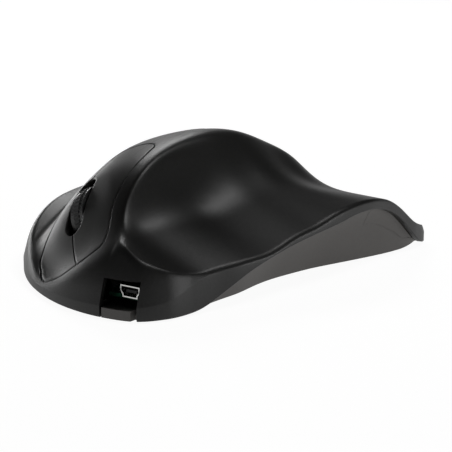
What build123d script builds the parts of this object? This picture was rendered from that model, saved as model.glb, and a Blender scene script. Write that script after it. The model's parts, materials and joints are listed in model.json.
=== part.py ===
"""Right-handed ergonomic mouse with a thumb wing, in millimetres.

The front of the mouse faces -Y, the thumb side is +X and Z points up.
The origin is on the desk under the middle of the outline.
The sculpted shells are lofts through sections across the mouse; the buttons,
the wheel and their board are laid out on a tilted deck under the fingers.
"""
from build123d import *
import os

import numpy as np

os.makedirs("parts", exist_ok=True)

# Shell and seams
WALL = 1.8                # thickness of the moulded shells
LIFT = 0.6                # height of the base above the desk
TRAY_GAP = 0.7            # slit between the base and the inside of the top shell
SEAM = 0.35               # slit around and between the buttons
FLOOR_TOP = LIFT + WALL
VOID_BOTTOM = -4.0        # the hollow of the top shell is cut out through its open underside

# Charging socket in the front wall
PORT_LEFT = 17.6
PORT_RIGHT = 29.8
PORT_TOP = 12.9
SILL_TOP = 3.9
SILL_BOTTOM = LIFT + 0.05
SOCKET_X = 25.0
SOCKET_FRONT_Y = -70.2
BOARD_TOP = 6.8
BOARD_THICK = 1.2

# Scroll wheel
WHEEL_R = 12.0
HUB_R = 11.7
TYRE_SEAT_R = 10.0
WHEEL_W = 6.2
TYRE_W = 2.6
WHEEL_BACK = 3.2
WHEEL_OUT = -0.8
AXLE_R = 1.0
SLOT_FRONT = -10.8
SLOT_BACK = 12.4
SLOT_MIDDLE = -0.35
SLOT_HALF_WIDTH = 3.95
DECK_BOARD_TOP = -6.0     # top of the tilted switch board
DECK_BOARD_BOTTOM = DECK_BOARD_TOP - BOARD_THICK

# Button hinge, behind the buttons under the top shell
HINGE_BACK = 30.0
HINGE_OUT = 0.5
HINGE_R = 0.75
KNUCKLE_R = 1.5
RUN_FIT = 0.05            # radial play of every pin that turns in its hole

# Wheel carrier, which turns about a pin in front of the wheel
CARRIER_FRONT = -12.6
ARM_IN = 3.4
ARM_OUT = 4.8
ARM_HIGH = 4.4

# Limits of the section curves
EVEN_LENGTH = 7.5         # length over which the curves along the mouse are averaged
STEEPEST = 3.2
LEAST_RISE = 0.4
THINNEST = 0.8
JOIN = 1e-5


def follow(*knots):
    """A smooth curve along (position, value) pairs, averaged so that its bend changes slowly."""
    at, value = np.array(knots, float).T
    step = np.diff(at)
    slope = np.diff(value) / step
    tangent = np.zeros(len(at))
    for i in range(1, len(at) - 1):
        if slope[i - 1] * slope[i] > 0:
            before = 2 * step[i] + step[i - 1]
            after = step[i] + 2 * step[i - 1]
            tangent[i] = (before + after) / (before / slope[i - 1] + after / slope[i])
    tangent[0] = slope[0]
    tangent[-1] = slope[-1]

    places = np.arange(-100, 100.05, 0.1)
    x = np.clip(places, at[0], at[-1])
    i = np.clip(np.searchsorted(at, x) - 1, 0, len(at) - 2)
    s = (x - at[i]) / step[i]
    line = (
        (2 * s**3 - 3 * s**2 + 1) * value[i]
        + (s**3 - 2 * s**2 + s) * step[i] * tangent[i]
        + (3 * s**2 - 2 * s**3) * value[i + 1]
        + (s**3 - s**2) * step[i] * tangent[i + 1]
        + slope[0] * np.minimum(places - at[0], 0)
        + slope[-1] * np.maximum(places - at[-1], 0)
    )
    weight = 1 - np.abs(np.arange(-EVEN_LENGTH, EVEN_LENGTH + 0.05, 0.1)) / (EVEN_LENGTH + 0.1)
    even = np.convolve(line, weight / weight.sum(), mode="same")
    return lambda x: np.interp(x, places, even)


# Plan outline from the front, thumb side first: x, y and how steeply the wall rises there
OUTLINE = [
    (18, -76, 8), (30, -73.5, 9), (36.2, -65.5, 11), (38.9, -55.5, 15), (41.6, -47, 22),
    (45, -38, 40), (48, -27, 40), (50, -14, 40), (52, -3, 40), (54.2, 9, 40), (55, 22, 40),
    (54.3, 36, 40), (53.8, 47, 34), (53.3, 58, 16), (51, 67, 8), (45, 73, 6.4),
    (33, 76, 6), (15, 76.1, 6), (-5, 73, 6), (-24, 65, 6), (-39, 51.5, 6), (-49, 34, 7),
    (-54, 14, 8), (-55, -8, 8), (-52.5, -26, 8.5), (-46, -40, 8.5), (-36, -51.5, 8),
    (-22.5, -62.6, 7), (-8, -70.6, 6.8), (5, -74.8, 7.2),
]

# The crest that runs from the nose over the hump, and the heights either side of it
crest_x = follow(
    (-76, 18), (-66, 16.5), (-58, 12.5), (-54, 10.5), (-49, 10), (-37, 10), (-28, 10.5),
    (-19, 11.5), (-9, 12.5), (5, 13.5), (20, 14.8), (30, 16.8), (45, 12), (60, 4), (76, -2),
)
crest_z = follow(
    (-76, 17.5), (-66, 22.3), (-61, 25), (-58, 28), (-54, 32.5), (-49, 37.5), (-43, 41.8),
    (-37, 44.6), (-28, 47.2), (-19, 48.7), (-10, 49.3), (0, 48.6), (10, 46.6), (17, 44.2),
    (24, 41.2), (31, 37.4), (38, 31.6), (45, 24), (60, 12.5), (76, 6),
)
finger_slope = follow(
    (-76, 0.7), (-62, 0.62), (-50, 0.48), (-35, 0.44), (-20, 0.34), (0, 0.36), (30, 0.45),
    (60, 0.4), (78, 0.3),
)
finger_round = follow((-76, 3), (-62, 4), (-50, 6), (-35, 10), (-20, 14), (0, 16), (78, 18))
shoulder_at = follow((-76, 34), (-62, 32), (-50, 31), (-35, 30), (0, 30), (30, 26), (78, 20))
shoulder_fall = follow((-76, 0.9), (-50, 0.9), (-20, 0.95), (0, 0.8), (30, 0.5), (78, 0.2))
flange_z = follow(
    (-76, 4.4), (-66, 5.4), (-55, 9), (-45, 13), (-34, 17.5), (-20, 21.5), (-5, 23), (20, 20),
    (45, 13), (70, 6), (78, 4),
)

# The thumb scoop and the lip of the wing
lip_x = follow(
    (-76, 28), (-66, 30), (-63, 32), (-56, 35), (-49, 40), (-44, 43), (-36, 46), (-27, 47.5),
    (-19, 49), (-3, 51.5), (13, 53.5), (26, 53.5), (37, 52), (57, 50), (66, 48), (78, 46),
)
lip_z = follow(
    (-76, 19.5), (-66, 18.2), (-63, 17), (-56, 14.8), (-49, 13.5), (-44, 13.6), (-36, 14.5),
    (-27, 15.5), (-19, 17.5), (-14, 19), (-3, 21), (4, 23.6), (13, 25), (19, 25.2), (26, 24.6),
    (37, 22.3), (48, 16.6), (57, 10), (66, 7), (78, 4),
)
scoop_rise = follow(
    (-76, 0.5), (-60, 0.5), (-49, 0.55), (-40, 0.5), (-28, 0.42), (-14, 0.44), (-1, 0.4),
    (10, 0.26), (26, 0.06), (40, 0.02), (55, 0), (78, 0),
)
scoop_wall = follow(
    (-76, 6), (-58, 8), (-49, 12), (-40, 15), (-28, 18), (-14, 21), (0, 23), (20, 26),
    (40, 32), (76, 34),
)
crease_round = follow(
    (-76, 0.5), (-50, 0.6), (-40, 1), (-28, 1.6), (-14, 2.4), (0, 3.5), (20, 5), (76, 8),
)
wall_bend = follow((-76, 2.4), (-40, 2.6), (0, 2.6), (76, 2.2))

# The cove under the wing
foot_x = follow(
    (-76, 33), (-68, 35.5), (-60, 36), (-40, 36), (-28, 36.5), (-13, 35), (-3, 36), (10, 38),
    (20, 41), (36, 46), (48, 49), (58, 50), (78, 52),
)
skirt_z = follow(
    (-76, LIFT), (-56, LIFT), (-51, 1.8), (-45, 5), (-40, 8), (-33, 11.5), (-23, 14.5),
    (-10, 17), (7, 19.8), (15, 21.3), (23, 21.4), (30, 20.4), (37, 18.4), (44, 15), (48, 12.2),
    (52, 8.8), (56, 5.4), (60, 2.6), (64, 1), (68, LIFT), (78, LIFT),
)


def smooth_min(a, b, width):
    """The lower of two heights, blended where they cross."""
    h = np.clip(0.5 + 0.5 * (b - a) / width, 0, 1)
    return b + (a - b) * h - width * h * (1 - h)


def smooth_max(a, b, width):
    """The higher of two heights, blended where they cross."""
    return -smooth_min(-a, -b, width)


def catmull(points, per_span=24):
    """A closed curve through the outline points, as a dense ring."""
    p = np.array(points, float)
    ring = []
    for i in range(len(p)):
        p0, p1, p2, p3 = p[i - 1], p[i], p[(i + 1) % len(p)], p[(i + 2) % len(p)]
        t1 = np.linalg.norm((p1 - p0)[:2]) ** 0.5
        t2 = t1 + np.linalg.norm((p2 - p1)[:2]) ** 0.5
        t3 = t2 + np.linalg.norm((p3 - p2)[:2]) ** 0.5
        t = np.linspace(t1, t2, per_span, endpoint=False)[:, None]
        a1 = (t1 - t) / t1 * p0 + t / t1 * p1
        a2 = (t2 - t) / (t2 - t1) * p1 + (t - t1) / (t2 - t1) * p2
        a3 = (t3 - t) / (t3 - t2) * p2 + (t - t2) / (t3 - t2) * p3
        b1 = (t2 - t) / t2 * a1 + t / t2 * a2
        b2 = (t3 - t) / (t3 - t1) * a2 + (t - t1) / (t3 - t1) * a3
        ring.append((t2 - t) / (t2 - t1) * b1 + (t - t1) / (t2 - t1) * b2)
    return np.concatenate(ring)


RING = catmull(OUTLINE)


def inset(points, amount):
    """The points of an anticlockwise outline moved inwards by an amount."""
    xy = np.array(points, float)
    along = np.roll(xy, -1, 0) - np.roll(xy, 1, 0)
    along /= np.linalg.norm(along, axis=1, keepdims=True)
    return xy + amount * np.column_stack([-along[:, 1], along[:, 0]])


def inset_ring(amount):
    """The outline of the mouse moved inwards by an amount."""
    return inset(RING[:, :2], amount)


def reach(ring, y):
    """The lowest and highest x of a ring at one station along the mouse."""
    a, b = ring, np.roll(ring, -1, 0)
    cross = (a[:, 1] - y) * (b[:, 1] - y) <= 0
    a, b = a[cross], b[cross]
    span = np.where(np.abs(b[:, 1] - a[:, 1]) < 1e-9, 1e-9, b[:, 1] - a[:, 1])
    x = a[:, 0] + (b[:, 0] - a[:, 0]) * (y - a[:, 1]) / span
    return float(x.min()), float(x.max())


def rim(x, y):
    """Distance inside the outline, and the steepness of the walls around, the nearest most."""
    p = np.stack([np.ravel(x), np.ravel(y)], 1)
    a = RING[:, :2]
    ab = np.roll(a, -1, 0) - a
    apart = ((p[:, None] - a[None]) ** 2).sum(2)
    near = apart.argmin(1)
    weight = 1 / (apart + 0.5) ** 3
    steep = (weight * RING[:, 2]).sum(1) / weight.sum(1)
    best = np.full(len(p), 1e9)
    side = np.zeros(len(p))
    for k in (near - 1, near):
        k = k % len(a)
        t = np.clip(((p - a[k]) * ab[k]).sum(1) / (ab[k] ** 2).sum(1), 0, 1)
        off = p - (a[k] + ab[k] * t[:, None])
        gap = np.hypot(off[:, 0], off[:, 1])
        closer = gap < best
        turn = np.sign(ab[k][:, 0] * off[:, 1] - ab[k][:, 1] * off[:, 0])
        side = np.where(closer, turn, side)
        best = np.where(closer, gap, best)
    return (best * side).reshape(np.shape(x)), steep.reshape(np.shape(x))


def body_height(x, y):
    """The ridge under the fingers and the palm, and the flange for the little finger."""
    from_crest = crest_x(y) - x
    t = np.maximum(from_crest, 0)
    bend = finger_round(y)
    ridge = crest_z(y) - finger_slope(y) * (np.sqrt(t * t + bend * bend) - bend)
    ridge = ridge - shoulder_fall(y) * 4 * np.log1p(np.exp((t - shoulder_at(y)) / 4))
    flange = flange_z(y) - 0.004 * (x + 44) ** 2 * np.where(x > -44, 0.3, 1)
    past = np.maximum(-from_crest, 0)
    ridge = np.where(from_crest > 0, ridge, crest_z(y) - 0.6 * past**2 / (past + 8))
    return smooth_max(ridge, flange, 6)


def top_height(x, y):
    """Height of the finished top surface."""
    x, y = np.broadcast_arrays(np.asarray(x, float), np.asarray(y, float))
    body = body_height(x, y)
    floor = lip_z(y) + scoop_rise(y) * (lip_x(y) - x)
    past = x - crest_x(y)
    soft = crease_round(y)
    t = np.clip((past + np.sqrt(past * past + soft * soft)) / 2 / scoop_wall(y), 0, 1)
    scoop = floor + (body - floor) * (1 - t) ** wall_bend(y)
    z = np.where(past > -12, scoop, body)
    inside, steep = rim(x, y)
    knee = 1.2
    wall = np.where(
        inside > knee,
        steep * np.sqrt(np.maximum(inside, knee)),
        steep * (np.sqrt(knee) + (inside - knee) / (2 * np.sqrt(knee))),
    )
    blend = 1.2 + 2.8 / (1 + np.exp(np.clip((past - 4) / 2, -40, 40)))
    blend = np.maximum(blend, np.interp(y, (-66, -48), (2.4, 1.2)))
    fade = np.clip((20 - steep) / 10, 0, 1)
    fade = fade * fade * (3 - 2 * fade)
    return z - (z - smooth_min(z, wall, blend)) * fade


def under_top(x, y, thick):
    """Height of a surface that lies a wall's thickness under the top."""
    h = 0.25
    gx = (top_height(x + h, y) - top_height(x - h, y)) / (2 * h)
    gy = (top_height(x, y + h) - top_height(x, y - h)) / (2 * h)
    slant = np.minimum(np.sqrt(1 + gx * gx + gy * gy), STEEPEST)
    return top_height(x, y) - thick * slant


def cove_height(x, y, foot, edge):
    """Underside of the wing: from the foot line up to the skirt of the top shell."""
    t = np.clip((x - foot) / max(edge - foot, 0.1), 0, 1)
    room = float(under_top(edge, y, WALL)) - TRAY_GAP - THINNEST
    rise = max(min(float(skirt_z(y)), room) - LIFT, 0)
    return LIFT + rise * (1 - (1 - t) ** 2.2)


# Where the section points sit between the outline and the crest, and from there to the lip
RIGHT_SHARE = np.array([0, 0.01, 0.025, 0.05, 0.09, 0.14, 0.2, 0.3, 0.4, 0.5, 0.6, 0.7, 0.8, 0.89,
                        0.96, 1])
LEFT_SHARE = np.array([0, 0.03, 0.07, 0.12, 0.18, 0.26, 0.36, 0.48, 0.62, 0.75, 0.85, 0.92, 0.96,
                       0.985, 1])


def section_curve(xs, y, zs, shares):
    """A spline whose points keep the same shares in every section."""
    points = [Vector(float(x), float(y), float(z)) for x, z in zip(xs, zs)]
    return Edge.make_spline(points, parameters=[float(share) for share in shares])


def shell_block(stations, ring, thick, bottom):
    """Solid under the top surface, lofted through sections across the mouse."""
    sections = []
    for y in stations:
        right, left = reach(ring, y)
        quarter = 0.25 * (left - right)
        middle = float(np.clip(crest_x(y), right + quarter, left - quarter))
        xs_right = right + (middle - right) * RIGHT_SHARE
        xs_left = middle + (left - middle) * LEFT_SHARE
        z_right = under_top(xs_right, y, thick)
        z_left = under_top(xs_left, y, thick)
        low_right, low_left = bottom(y)
        z_right = np.maximum(z_right, low_right + LEAST_RISE)
        z_left = np.maximum(z_left, low_right + LEAST_RISE)
        z_left[0] = z_right[-1]
        first = section_curve(xs_right, y, z_right, RIGHT_SHARE)
        second = section_curve(xs_left, y, z_left, LEFT_SHARE)
        corner_left = Vector(left, y, low_left)
        corner_right = Vector(right, y, low_right)
        sides = [
            Edge.make_line(second @ 1, corner_left),
            Edge.make_line(corner_left, corner_right),
            Edge.make_line(corner_right, first @ 0),
        ]
        sections.append(Face(Wire.combine([first, second, *sides], tol=JOIN)[0]))
    with BuildPart() as block:
        loft(sections=sections)
    return block.part


# Points of the tray from the foot of the cove to its edge, and more room kept over them
TRAY_SHARE = np.array([0, 0.15, 0.35, 0.6, 0.82, 1])
TRAY_SLACK = np.array([0, 0.9, 1, 0.6, 0.2, 0])


def tray_block(stations, ring):
    """The curved plate under the mouse: flat on the desk side, hollowed under the wing."""
    sections = []
    for y in stations:
        right, left = reach(ring, y)
        foot = min(float(foot_x(y)), left - 1.5)
        xs = foot + (left - foot) * TRAY_SHARE
        low = cove_height(xs, y, foot, left)
        gx = np.gradient(low, xs)
        high = low + WALL * np.sqrt(1 + gx * gx)
        high = np.minimum(high, under_top(xs, y, WALL) - TRAY_GAP - TRAY_SLACK)
        high = np.maximum(high, low + THINNEST)
        high[0] = FLOOR_TOP
        under = section_curve(xs, y, low, TRAY_SHARE)
        over = section_curve(xs, y, high, TRAY_SHARE)
        corner = Vector(right, y, LIFT)
        upper = Vector(right, y, FLOOR_TOP)
        sides = [
            Edge.make_line(corner, under @ 0),
            Edge.make_line(under @ 1, over @ 1),
            Edge.make_line(over @ 0, upper),
            Edge.make_line(upper, corner),
        ]
        sections.append(Face(Wire.combine([under, over, *sides], tol=JOIN)[0]))
    with BuildPart() as block:
        loft(sections=sections)
    return block.part


# The tilted deck under the fingers: x across the buttons, y back along the wheel, z outwards
DECK = Plane(origin=(-8.9, -44.4, 20.3), x_dir=(0.89, -0.081, 0.448), z_dir=(-0.421, -0.521, 0.742))


def on_deck(across, back, out=0.0):
    """A point given in deck coordinates."""
    return DECK.from_local_coords(Vector(across, back, out))


def side_plane(across):
    """A plane across the wheel axle, with x backwards and y outwards."""
    return Plane(origin=on_deck(across, 0), x_dir=DECK.y_dir, z_dir=DECK.x_dir)


def deck_box(across, back, out):
    """A block between two deck coordinates in each direction."""
    with BuildPart() as block:
        with BuildSketch(DECK.offset(out[0])):
            with Locations(((across[0] + across[1]) / 2, (back[0] + back[1]) / 2)):
                Rectangle(across[1] - across[0], back[1] - back[0])
        extrude(amount=out[1] - out[0])
    return block.part


def deck_pin(across, back, out, radius):
    """A round pin that lies across the deck, parallel to the wheel axle."""
    with BuildPart() as pin:
        with BuildSketch(side_plane(across[0])):
            with Locations((back, out)):
                Circle(radius)
        extrude(amount=across[1] - across[0])
    return pin.part


def upright_box(x, y, z):
    """A block between two heights."""
    with BuildPart() as block:
        with BuildSketch(Plane.XY.offset(z[0])):
            with Locations(((x[0] + x[1]) / 2, (y[0] + y[1]) / 2)):
                Rectangle(x[1] - x[0], y[1] - y[0])
        extrude(amount=z[1] - z[0])
    return block.part


def upright_posts(places, radius, z):
    """Equal round posts between two heights."""
    with BuildPart() as posts:
        with BuildSketch(Plane.XY.offset(z[0])):
            with Locations(*places):
                Circle(radius)
        extrude(amount=z[1] - z[0])
    return posts.part


# Outline of the pair of buttons on the deck
NOSE_EDGE = [(-14.6, -19.6), (-9.3, -25.7), (-1.5, -27.0), (7.7, -25.3), (17.8, -21.6)]
THUMB_EDGE = [(19.2, -19.8), (18.8, -13.0), (18.4, -6.0), (19.8, 1.0), (21.3, 9.0), (22.0, 16.0),
              (21.2, 23.6)]
BACK_EDGE = [(19.2, 26.0), (14.4, 27.8), (9.2, 27.9), (3.6, 26.8), (-1.6, 23.6), (-6.4, 17.8),
             (-9.8, 11.4), (-12.2, 4.6), (-14.8, -2.4), (-17.0, -8.6), (-17.2, -14.4), (-14.6, -19.6)]
FRONT_SPLIT = [(8.6, -30.0), (7.7, -25.3), (4.9, -21.6), (1.6, -15.6), (0.0, -10.0)]
BACK_SPLIT = [(0.0, 10.0), (0.6, 17.0), (2.0, 23.0), (3.6, 30.0)]
PRISM_LOW = -3.5
PRISM_HIGH = 16.0


def button_prism(gap):
    """The block along the deck normal that the pair of buttons fills."""
    outline = [tuple(p) for p in inset(NOSE_EDGE + THUMB_EDGE + BACK_EDGE[:-1], gap)]
    nose = outline[:len(NOSE_EDGE)]
    thumb = outline[len(NOSE_EDGE):len(NOSE_EDGE) + len(THUMB_EDGE)]
    back = outline[len(NOSE_EDGE) + len(THUMB_EDGE):] + nose[:1]
    with BuildPart() as prism:
        with BuildSketch(DECK.offset(PRISM_LOW)):
            with BuildLine():
                Spline(*nose)
                Line(nose[-1], thumb[0])
                Spline(*thumb)
                Line(thumb[-1], back[0])
                Spline(*back)
            make_face()
        extrude(amount=PRISM_HIGH - PRISM_LOW)
    return prism.part


# Shells
OUTER_STATIONS = [-75.7, -75.1, -74.2, -73, -71.3, -69.2, -66.6, -63.6, -60.6, -57.6, -54.6, -51.6,
                  -48.4, -44.6, -40, -35, -29.5, -23.5, -17, -10, -2.5, 5, 13, 21, 28, 34.5, 41,
                  47.5, 53.5, 59, 63.6, 67.6, 70.8, 73.2, 74.8, 75.7]
INNER_STATIONS = [-73.6, -72.8, -71.6, -70, -68, -65.4, -62.5, -59.5, -56.4, -53, -49.4, -45, -40,
                  -35, -29.5, -23.5, -17, -10, -2.5, 5, 13, 21, 28, 34.5, 41, 47.5, 53.5, 59,
                  63.4, 67.2, 70.2, 72.4, 73.6]
TRAY_STATIONS = [-73.2, -72.4, -71, -68.8, -66, -63, -60, -54, -49, -43, -36, -28, -19, -9, 2, 13, 20,
                 26, 32, 38, 44, 49, 53, 57, 61, 65, 68.5, 71, 72.4, 73.2]

outer = shell_block(OUTER_STATIONS, RING[:, :2], 0, lambda y: (LIFT, float(skirt_z(y))))
hollow = shell_block(INNER_STATIONS, inset_ring(WALL), WALL, lambda y: (VOID_BOTTOM, VOID_BOTTOM))

CASE_SCREWS = [(10.5, -69.3), (-41, -22), (-24, 51), (34, 48)]
CASE_BOSS_BOTTOM = 4.5
CASE_BOSS_R = 2.8
CASE_SCREW_TOP = 8.6
CASE_POST_R = 3.6         # post of the base under each boss
HEAD_R = 2.2
HEAD_PLAY = 0.4
SCREW_R = 1.0
SCREW_PLAY = 0.2

# Hinge lugs between and beside the knuckles of the two buttons
LUGS = [(-9.0, -6.6), (0.8, 4.4), (12.2, 14.6)]
LUG_FRONT = 28.4
LUG_BACK = 31.8
LUG_SPAN = (-10, 16)
FAR = 60                  # beyond the outline in any direction

bosses = upright_posts(CASE_SCREWS, CASE_BOSS_R, (CASE_BOSS_BOTTOM, FAR))
for across in LUGS:
    bosses = bosses + deck_box(across, (LUG_FRONT, LUG_BACK), (HINGE_OUT - 1.8, PRISM_HIGH))
pilot_holes = upright_posts(CASE_SCREWS, SCREW_R, (CASE_BOSS_BOTTOM - 1, CASE_SCREW_TOP))
hinge_bore = deck_pin(LUG_SPAN, HINGE_BACK, HINGE_OUT, HINGE_R)
mouth = upright_box((PORT_LEFT - 0.3, PORT_RIGHT + 0.3), (-80, -67), (-2, PORT_TOP))

with BuildPart() as top_shell:
    add(outer - (hollow - bosses))
    add(button_prism(0), mode=Mode.SUBTRACT)
    add([mouth, pilot_holes, hinge_bore], mode=Mode.SUBTRACT)

# Buttons: curved plates with a rib over the switch and a hinge arm behind
LEFT_SWITCH = (9.5, -12.6)
RIGHT_SWITCH = (-9.5, -6.0)
SWITCH_SIZE = (5.8, 12.8, 5.8)
SWITCH_TOP = DECK_BOARD_TOP + SWITCH_SIZE[2]
PLUNGER = 0.7
PRESS_GAP = 0.4
RIB_BOTTOM = SWITCH_TOP + PLUNGER + PRESS_GAP
PLUNGER_FORWARD = 2.5


def button_rib(place):
    """The round rib of a button, over the plunger of its switch."""
    with BuildPart() as rib:
        with BuildSketch(DECK.offset(RIB_BOTTOM)):
            with Locations((place[0], place[1] - PLUNGER_FORWARD)):
                Circle(1.5)
        extrude(amount=PRISM_HIGH - RIB_BOTTOM)
    return rib.part


RIGHT_ARM = (-5.6, 0.0)
RIGHT_POST = (18.5, 22.8)
LEFT_ARM = (5.2, 11.4)
LEFT_POST = (20.5, 25.5)
ARM_BOTTOM = HINGE_OUT - KNUCKLE_R
ARM_TOP = HINGE_OUT + KNUCKLE_R
posts = [
    deck_box(RIGHT_ARM, RIGHT_POST, (ARM_BOTTOM, PRISM_HIGH)),
    deck_box(LEFT_ARM, LEFT_POST, (ARM_BOTTOM, PRISM_HIGH)),
]
button_void = hollow - posts[0] - posts[1] - button_rib(LEFT_SWITCH) - button_rib(RIGHT_SWITCH)

with BuildPart() as divider:
    with BuildSketch(DECK.offset(PRISM_LOW)):
        with Locations((SLOT_MIDDLE, (SLOT_FRONT + SLOT_BACK) / 2)):
            SlotOverall(SLOT_BACK - SLOT_FRONT, 2 * SLOT_HALF_WIDTH, rotation=90)
        for path in (FRONT_SPLIT, BACK_SPLIT):
            low_side = [(x - SEAM / 2, y) for x, y in path]
            high_side = [(x + SEAM / 2, y) for x, y in path]
            with BuildLine():
                Spline(*low_side)
                Line(low_side[-1], high_side[-1])
                Spline(*high_side)
                Line(high_side[0], low_side[0])
            make_face()
    extrude(amount=PRISM_HIGH - PRISM_LOW)

button_pair = (outer & button_prism(SEAM)) - divider.part - button_void
plates = button_pair.solids().sort_by(lambda s: DECK.to_local_coords(s.center()).X)
knuckle_bore = deck_pin(LUG_SPAN, HINGE_BACK, HINGE_OUT, HINGE_R + RUN_FIT)

with BuildPart() as right_button:
    add(plates[0])
    add(deck_box(RIGHT_ARM, (RIGHT_POST[0], HINGE_BACK), (ARM_BOTTOM, ARM_TOP)))
    add(deck_pin(RIGHT_ARM, HINGE_BACK, HINGE_OUT, KNUCKLE_R))
    add(knuckle_bore, mode=Mode.SUBTRACT)

with BuildPart() as left_button:
    add(plates[-1])
    add(deck_box(LEFT_ARM, (LEFT_POST[0], HINGE_BACK), (ARM_BOTTOM, ARM_TOP)))
    add(deck_pin(LEFT_ARM, HINGE_BACK, HINGE_OUT, KNUCKLE_R))
    add(knuckle_bore, mode=Mode.SUBTRACT)

with BuildPart() as button_hinge_pin:
    add(deck_pin((LUGS[0][0], LUGS[-1][1]), HINGE_BACK, HINGE_OUT, HINGE_R))

# Scroll wheel
WHEEL_PLACE = (WHEEL_BACK, WHEEL_OUT)
with BuildPart() as wheel_hub:
    with BuildSketch(side_plane(-WHEEL_W / 2)):
        with Locations(WHEEL_PLACE):
            Circle(HUB_R)
            Circle(AXLE_R, mode=Mode.SUBTRACT)
    extrude(amount=WHEEL_W)
    with BuildSketch(side_plane(-TYRE_W / 2)):
        with Locations(WHEEL_PLACE):
            Circle(HUB_R + 1)
            Circle(TYRE_SEAT_R, mode=Mode.SUBTRACT)
    extrude(amount=TYRE_W, mode=Mode.SUBTRACT)

KNURLS = 48
with BuildPart() as wheel_tyre:
    with BuildSketch(side_plane(-TYRE_W / 2)):
        with Locations(WHEEL_PLACE):
            Circle(WHEEL_R)
            Circle(TYRE_SEAT_R, mode=Mode.SUBTRACT)
            with PolarLocations(WHEEL_R + 0.1, KNURLS):
                Circle(0.4, mode=Mode.SUBTRACT)
    extrude(amount=TYRE_W)

AXLE_END = 9.0
with BuildPart() as wheel_axle:
    add(deck_pin((-ARM_OUT, AXLE_END), *WHEEL_PLACE, AXLE_R))

# Carrier that lets the wheel be pressed: two arms, a bridge and the tab over the middle switch
MIDDLE_SWITCH = (-8.5, 4.4)
MIDDLE_BODY = 3.4
MIDDLE_CAP = 0.6
MIDDLE_TOP = DECK_BOARD_TOP + MIDDLE_BODY + MIDDLE_CAP
TAB_END = -10.0
TAB_TOP = 0.4
BORE_SPAN = (-8, 8)
with BuildPart() as wheel_carrier:
    for start in (-ARM_OUT, ARM_IN):
        with BuildSketch(side_plane(start)):
            with Locations(((CARRIER_FRONT + WHEEL_BACK) / 2, WHEEL_OUT)):
                SlotOverall(WHEEL_BACK - CARRIER_FRONT + 5.2, ARM_HIGH)
        extrude(amount=ARM_OUT - ARM_IN)
    add(deck_box((-ARM_IN - 0.1, ARM_IN + 0.1), (CARRIER_FRONT - 1.6, CARRIER_FRONT + 2),
                 (WHEEL_OUT - 1.7, WHEEL_OUT + 1.7)))
    add(deck_box((TAB_END, -ARM_IN - 0.4), (MIDDLE_SWITCH[1] - 1.5, MIDDLE_SWITCH[1] + 1.3),
                 (MIDDLE_TOP + PRESS_GAP, TAB_TOP)))
    add(deck_pin(BORE_SPAN, *WHEEL_PLACE, AXLE_R + RUN_FIT), mode=Mode.SUBTRACT)
    add(deck_pin(BORE_SPAN, CARRIER_FRONT, WHEEL_OUT, HINGE_R + RUN_FIT), mode=Mode.SUBTRACT)

with BuildPart() as wheel_encoder:
    add(deck_box((ARM_OUT, ARM_OUT + 5.6), (WHEEL_BACK - 4.6, WHEEL_BACK + 4.6), (-5.1, 3.4)))
    add(deck_pin((ARM_IN, AXLE_END + 3), *WHEEL_PLACE, AXLE_R + RUN_FIT), mode=Mode.SUBTRACT)

EAR_IN = 5.1
EAR_OUT = 6.3
EAR_TOP = 1.2
BRACKET = (CARRIER_FRONT - 2.1, CARRIER_FRONT + 2.1)
with BuildPart() as carrier_pin:
    add(deck_pin((-EAR_OUT, EAR_OUT), CARRIER_FRONT, WHEEL_OUT, HINGE_R))

with BuildPart() as wheel_bracket:
    add(deck_box((-EAR_OUT, EAR_OUT), BRACKET, (DECK_BOARD_TOP, DECK_BOARD_TOP + 1.4)))
    add(deck_box((-EAR_OUT, -EAR_IN), BRACKET, (DECK_BOARD_TOP, EAR_TOP)))
    add(deck_box((EAR_IN, EAR_OUT), BRACKET, (DECK_BOARD_TOP, EAR_TOP)))
    add(deck_pin(BORE_SPAN, CARRIER_FRONT, WHEEL_OUT, HINGE_R), mode=Mode.SUBTRACT)

# Tilted switch board with its three switches
DECK_PLAN = [(-13.4, -12.6), (-4.0, -17.0), (5.0, -20.2), (13.4, -20.2), (13.4, 18.2), (-13.4, 18.2)]
WINDOW = (8.2, 24.6)
DECK_SCREWS = [(-11.0, 13.5), (11.0, 13.5)]

with BuildPart() as switch_board:
    with BuildSketch(DECK.offset(DECK_BOARD_BOTTOM)):
        with BuildLine():
            Polyline(*DECK_PLAN, close=True)
        make_face()
        with Locations((0, WHEEL_BACK)):
            Rectangle(*WINDOW, mode=Mode.SUBTRACT)
        with Locations(*DECK_SCREWS):
            Circle(1.1, mode=Mode.SUBTRACT)
    extrude(amount=BOARD_THICK)


def snap_switch(place):
    """A snap-action switch with its plunger toward the front."""
    with BuildPart() as switch:
        with BuildSketch(DECK.offset(DECK_BOARD_TOP)):
            with Locations(place):
                RectangleRounded(SWITCH_SIZE[0], SWITCH_SIZE[1], 0.4)
        extrude(amount=SWITCH_SIZE[2])
        with BuildSketch(DECK.offset(SWITCH_TOP)):
            with Locations((place[0], place[1] - PLUNGER_FORWARD)):
                Rectangle(2.6, 1.2)
        extrude(amount=PLUNGER)
    return switch.part


with BuildPart() as left_switch:
    add(snap_switch(LEFT_SWITCH))

with BuildPart() as right_switch:
    add(snap_switch(RIGHT_SWITCH))

with BuildPart() as middle_switch:
    with BuildSketch(DECK.offset(DECK_BOARD_TOP)):
        with Locations(MIDDLE_SWITCH):
            RectangleRounded(6, 6, 0.3)
    extrude(amount=MIDDLE_BODY)
    with BuildSketch(DECK.offset(DECK_BOARD_TOP + MIDDLE_BODY)):
        with Locations(MIDDLE_SWITCH):
            Circle(1.7)
    extrude(amount=MIDDLE_CAP)

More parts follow.
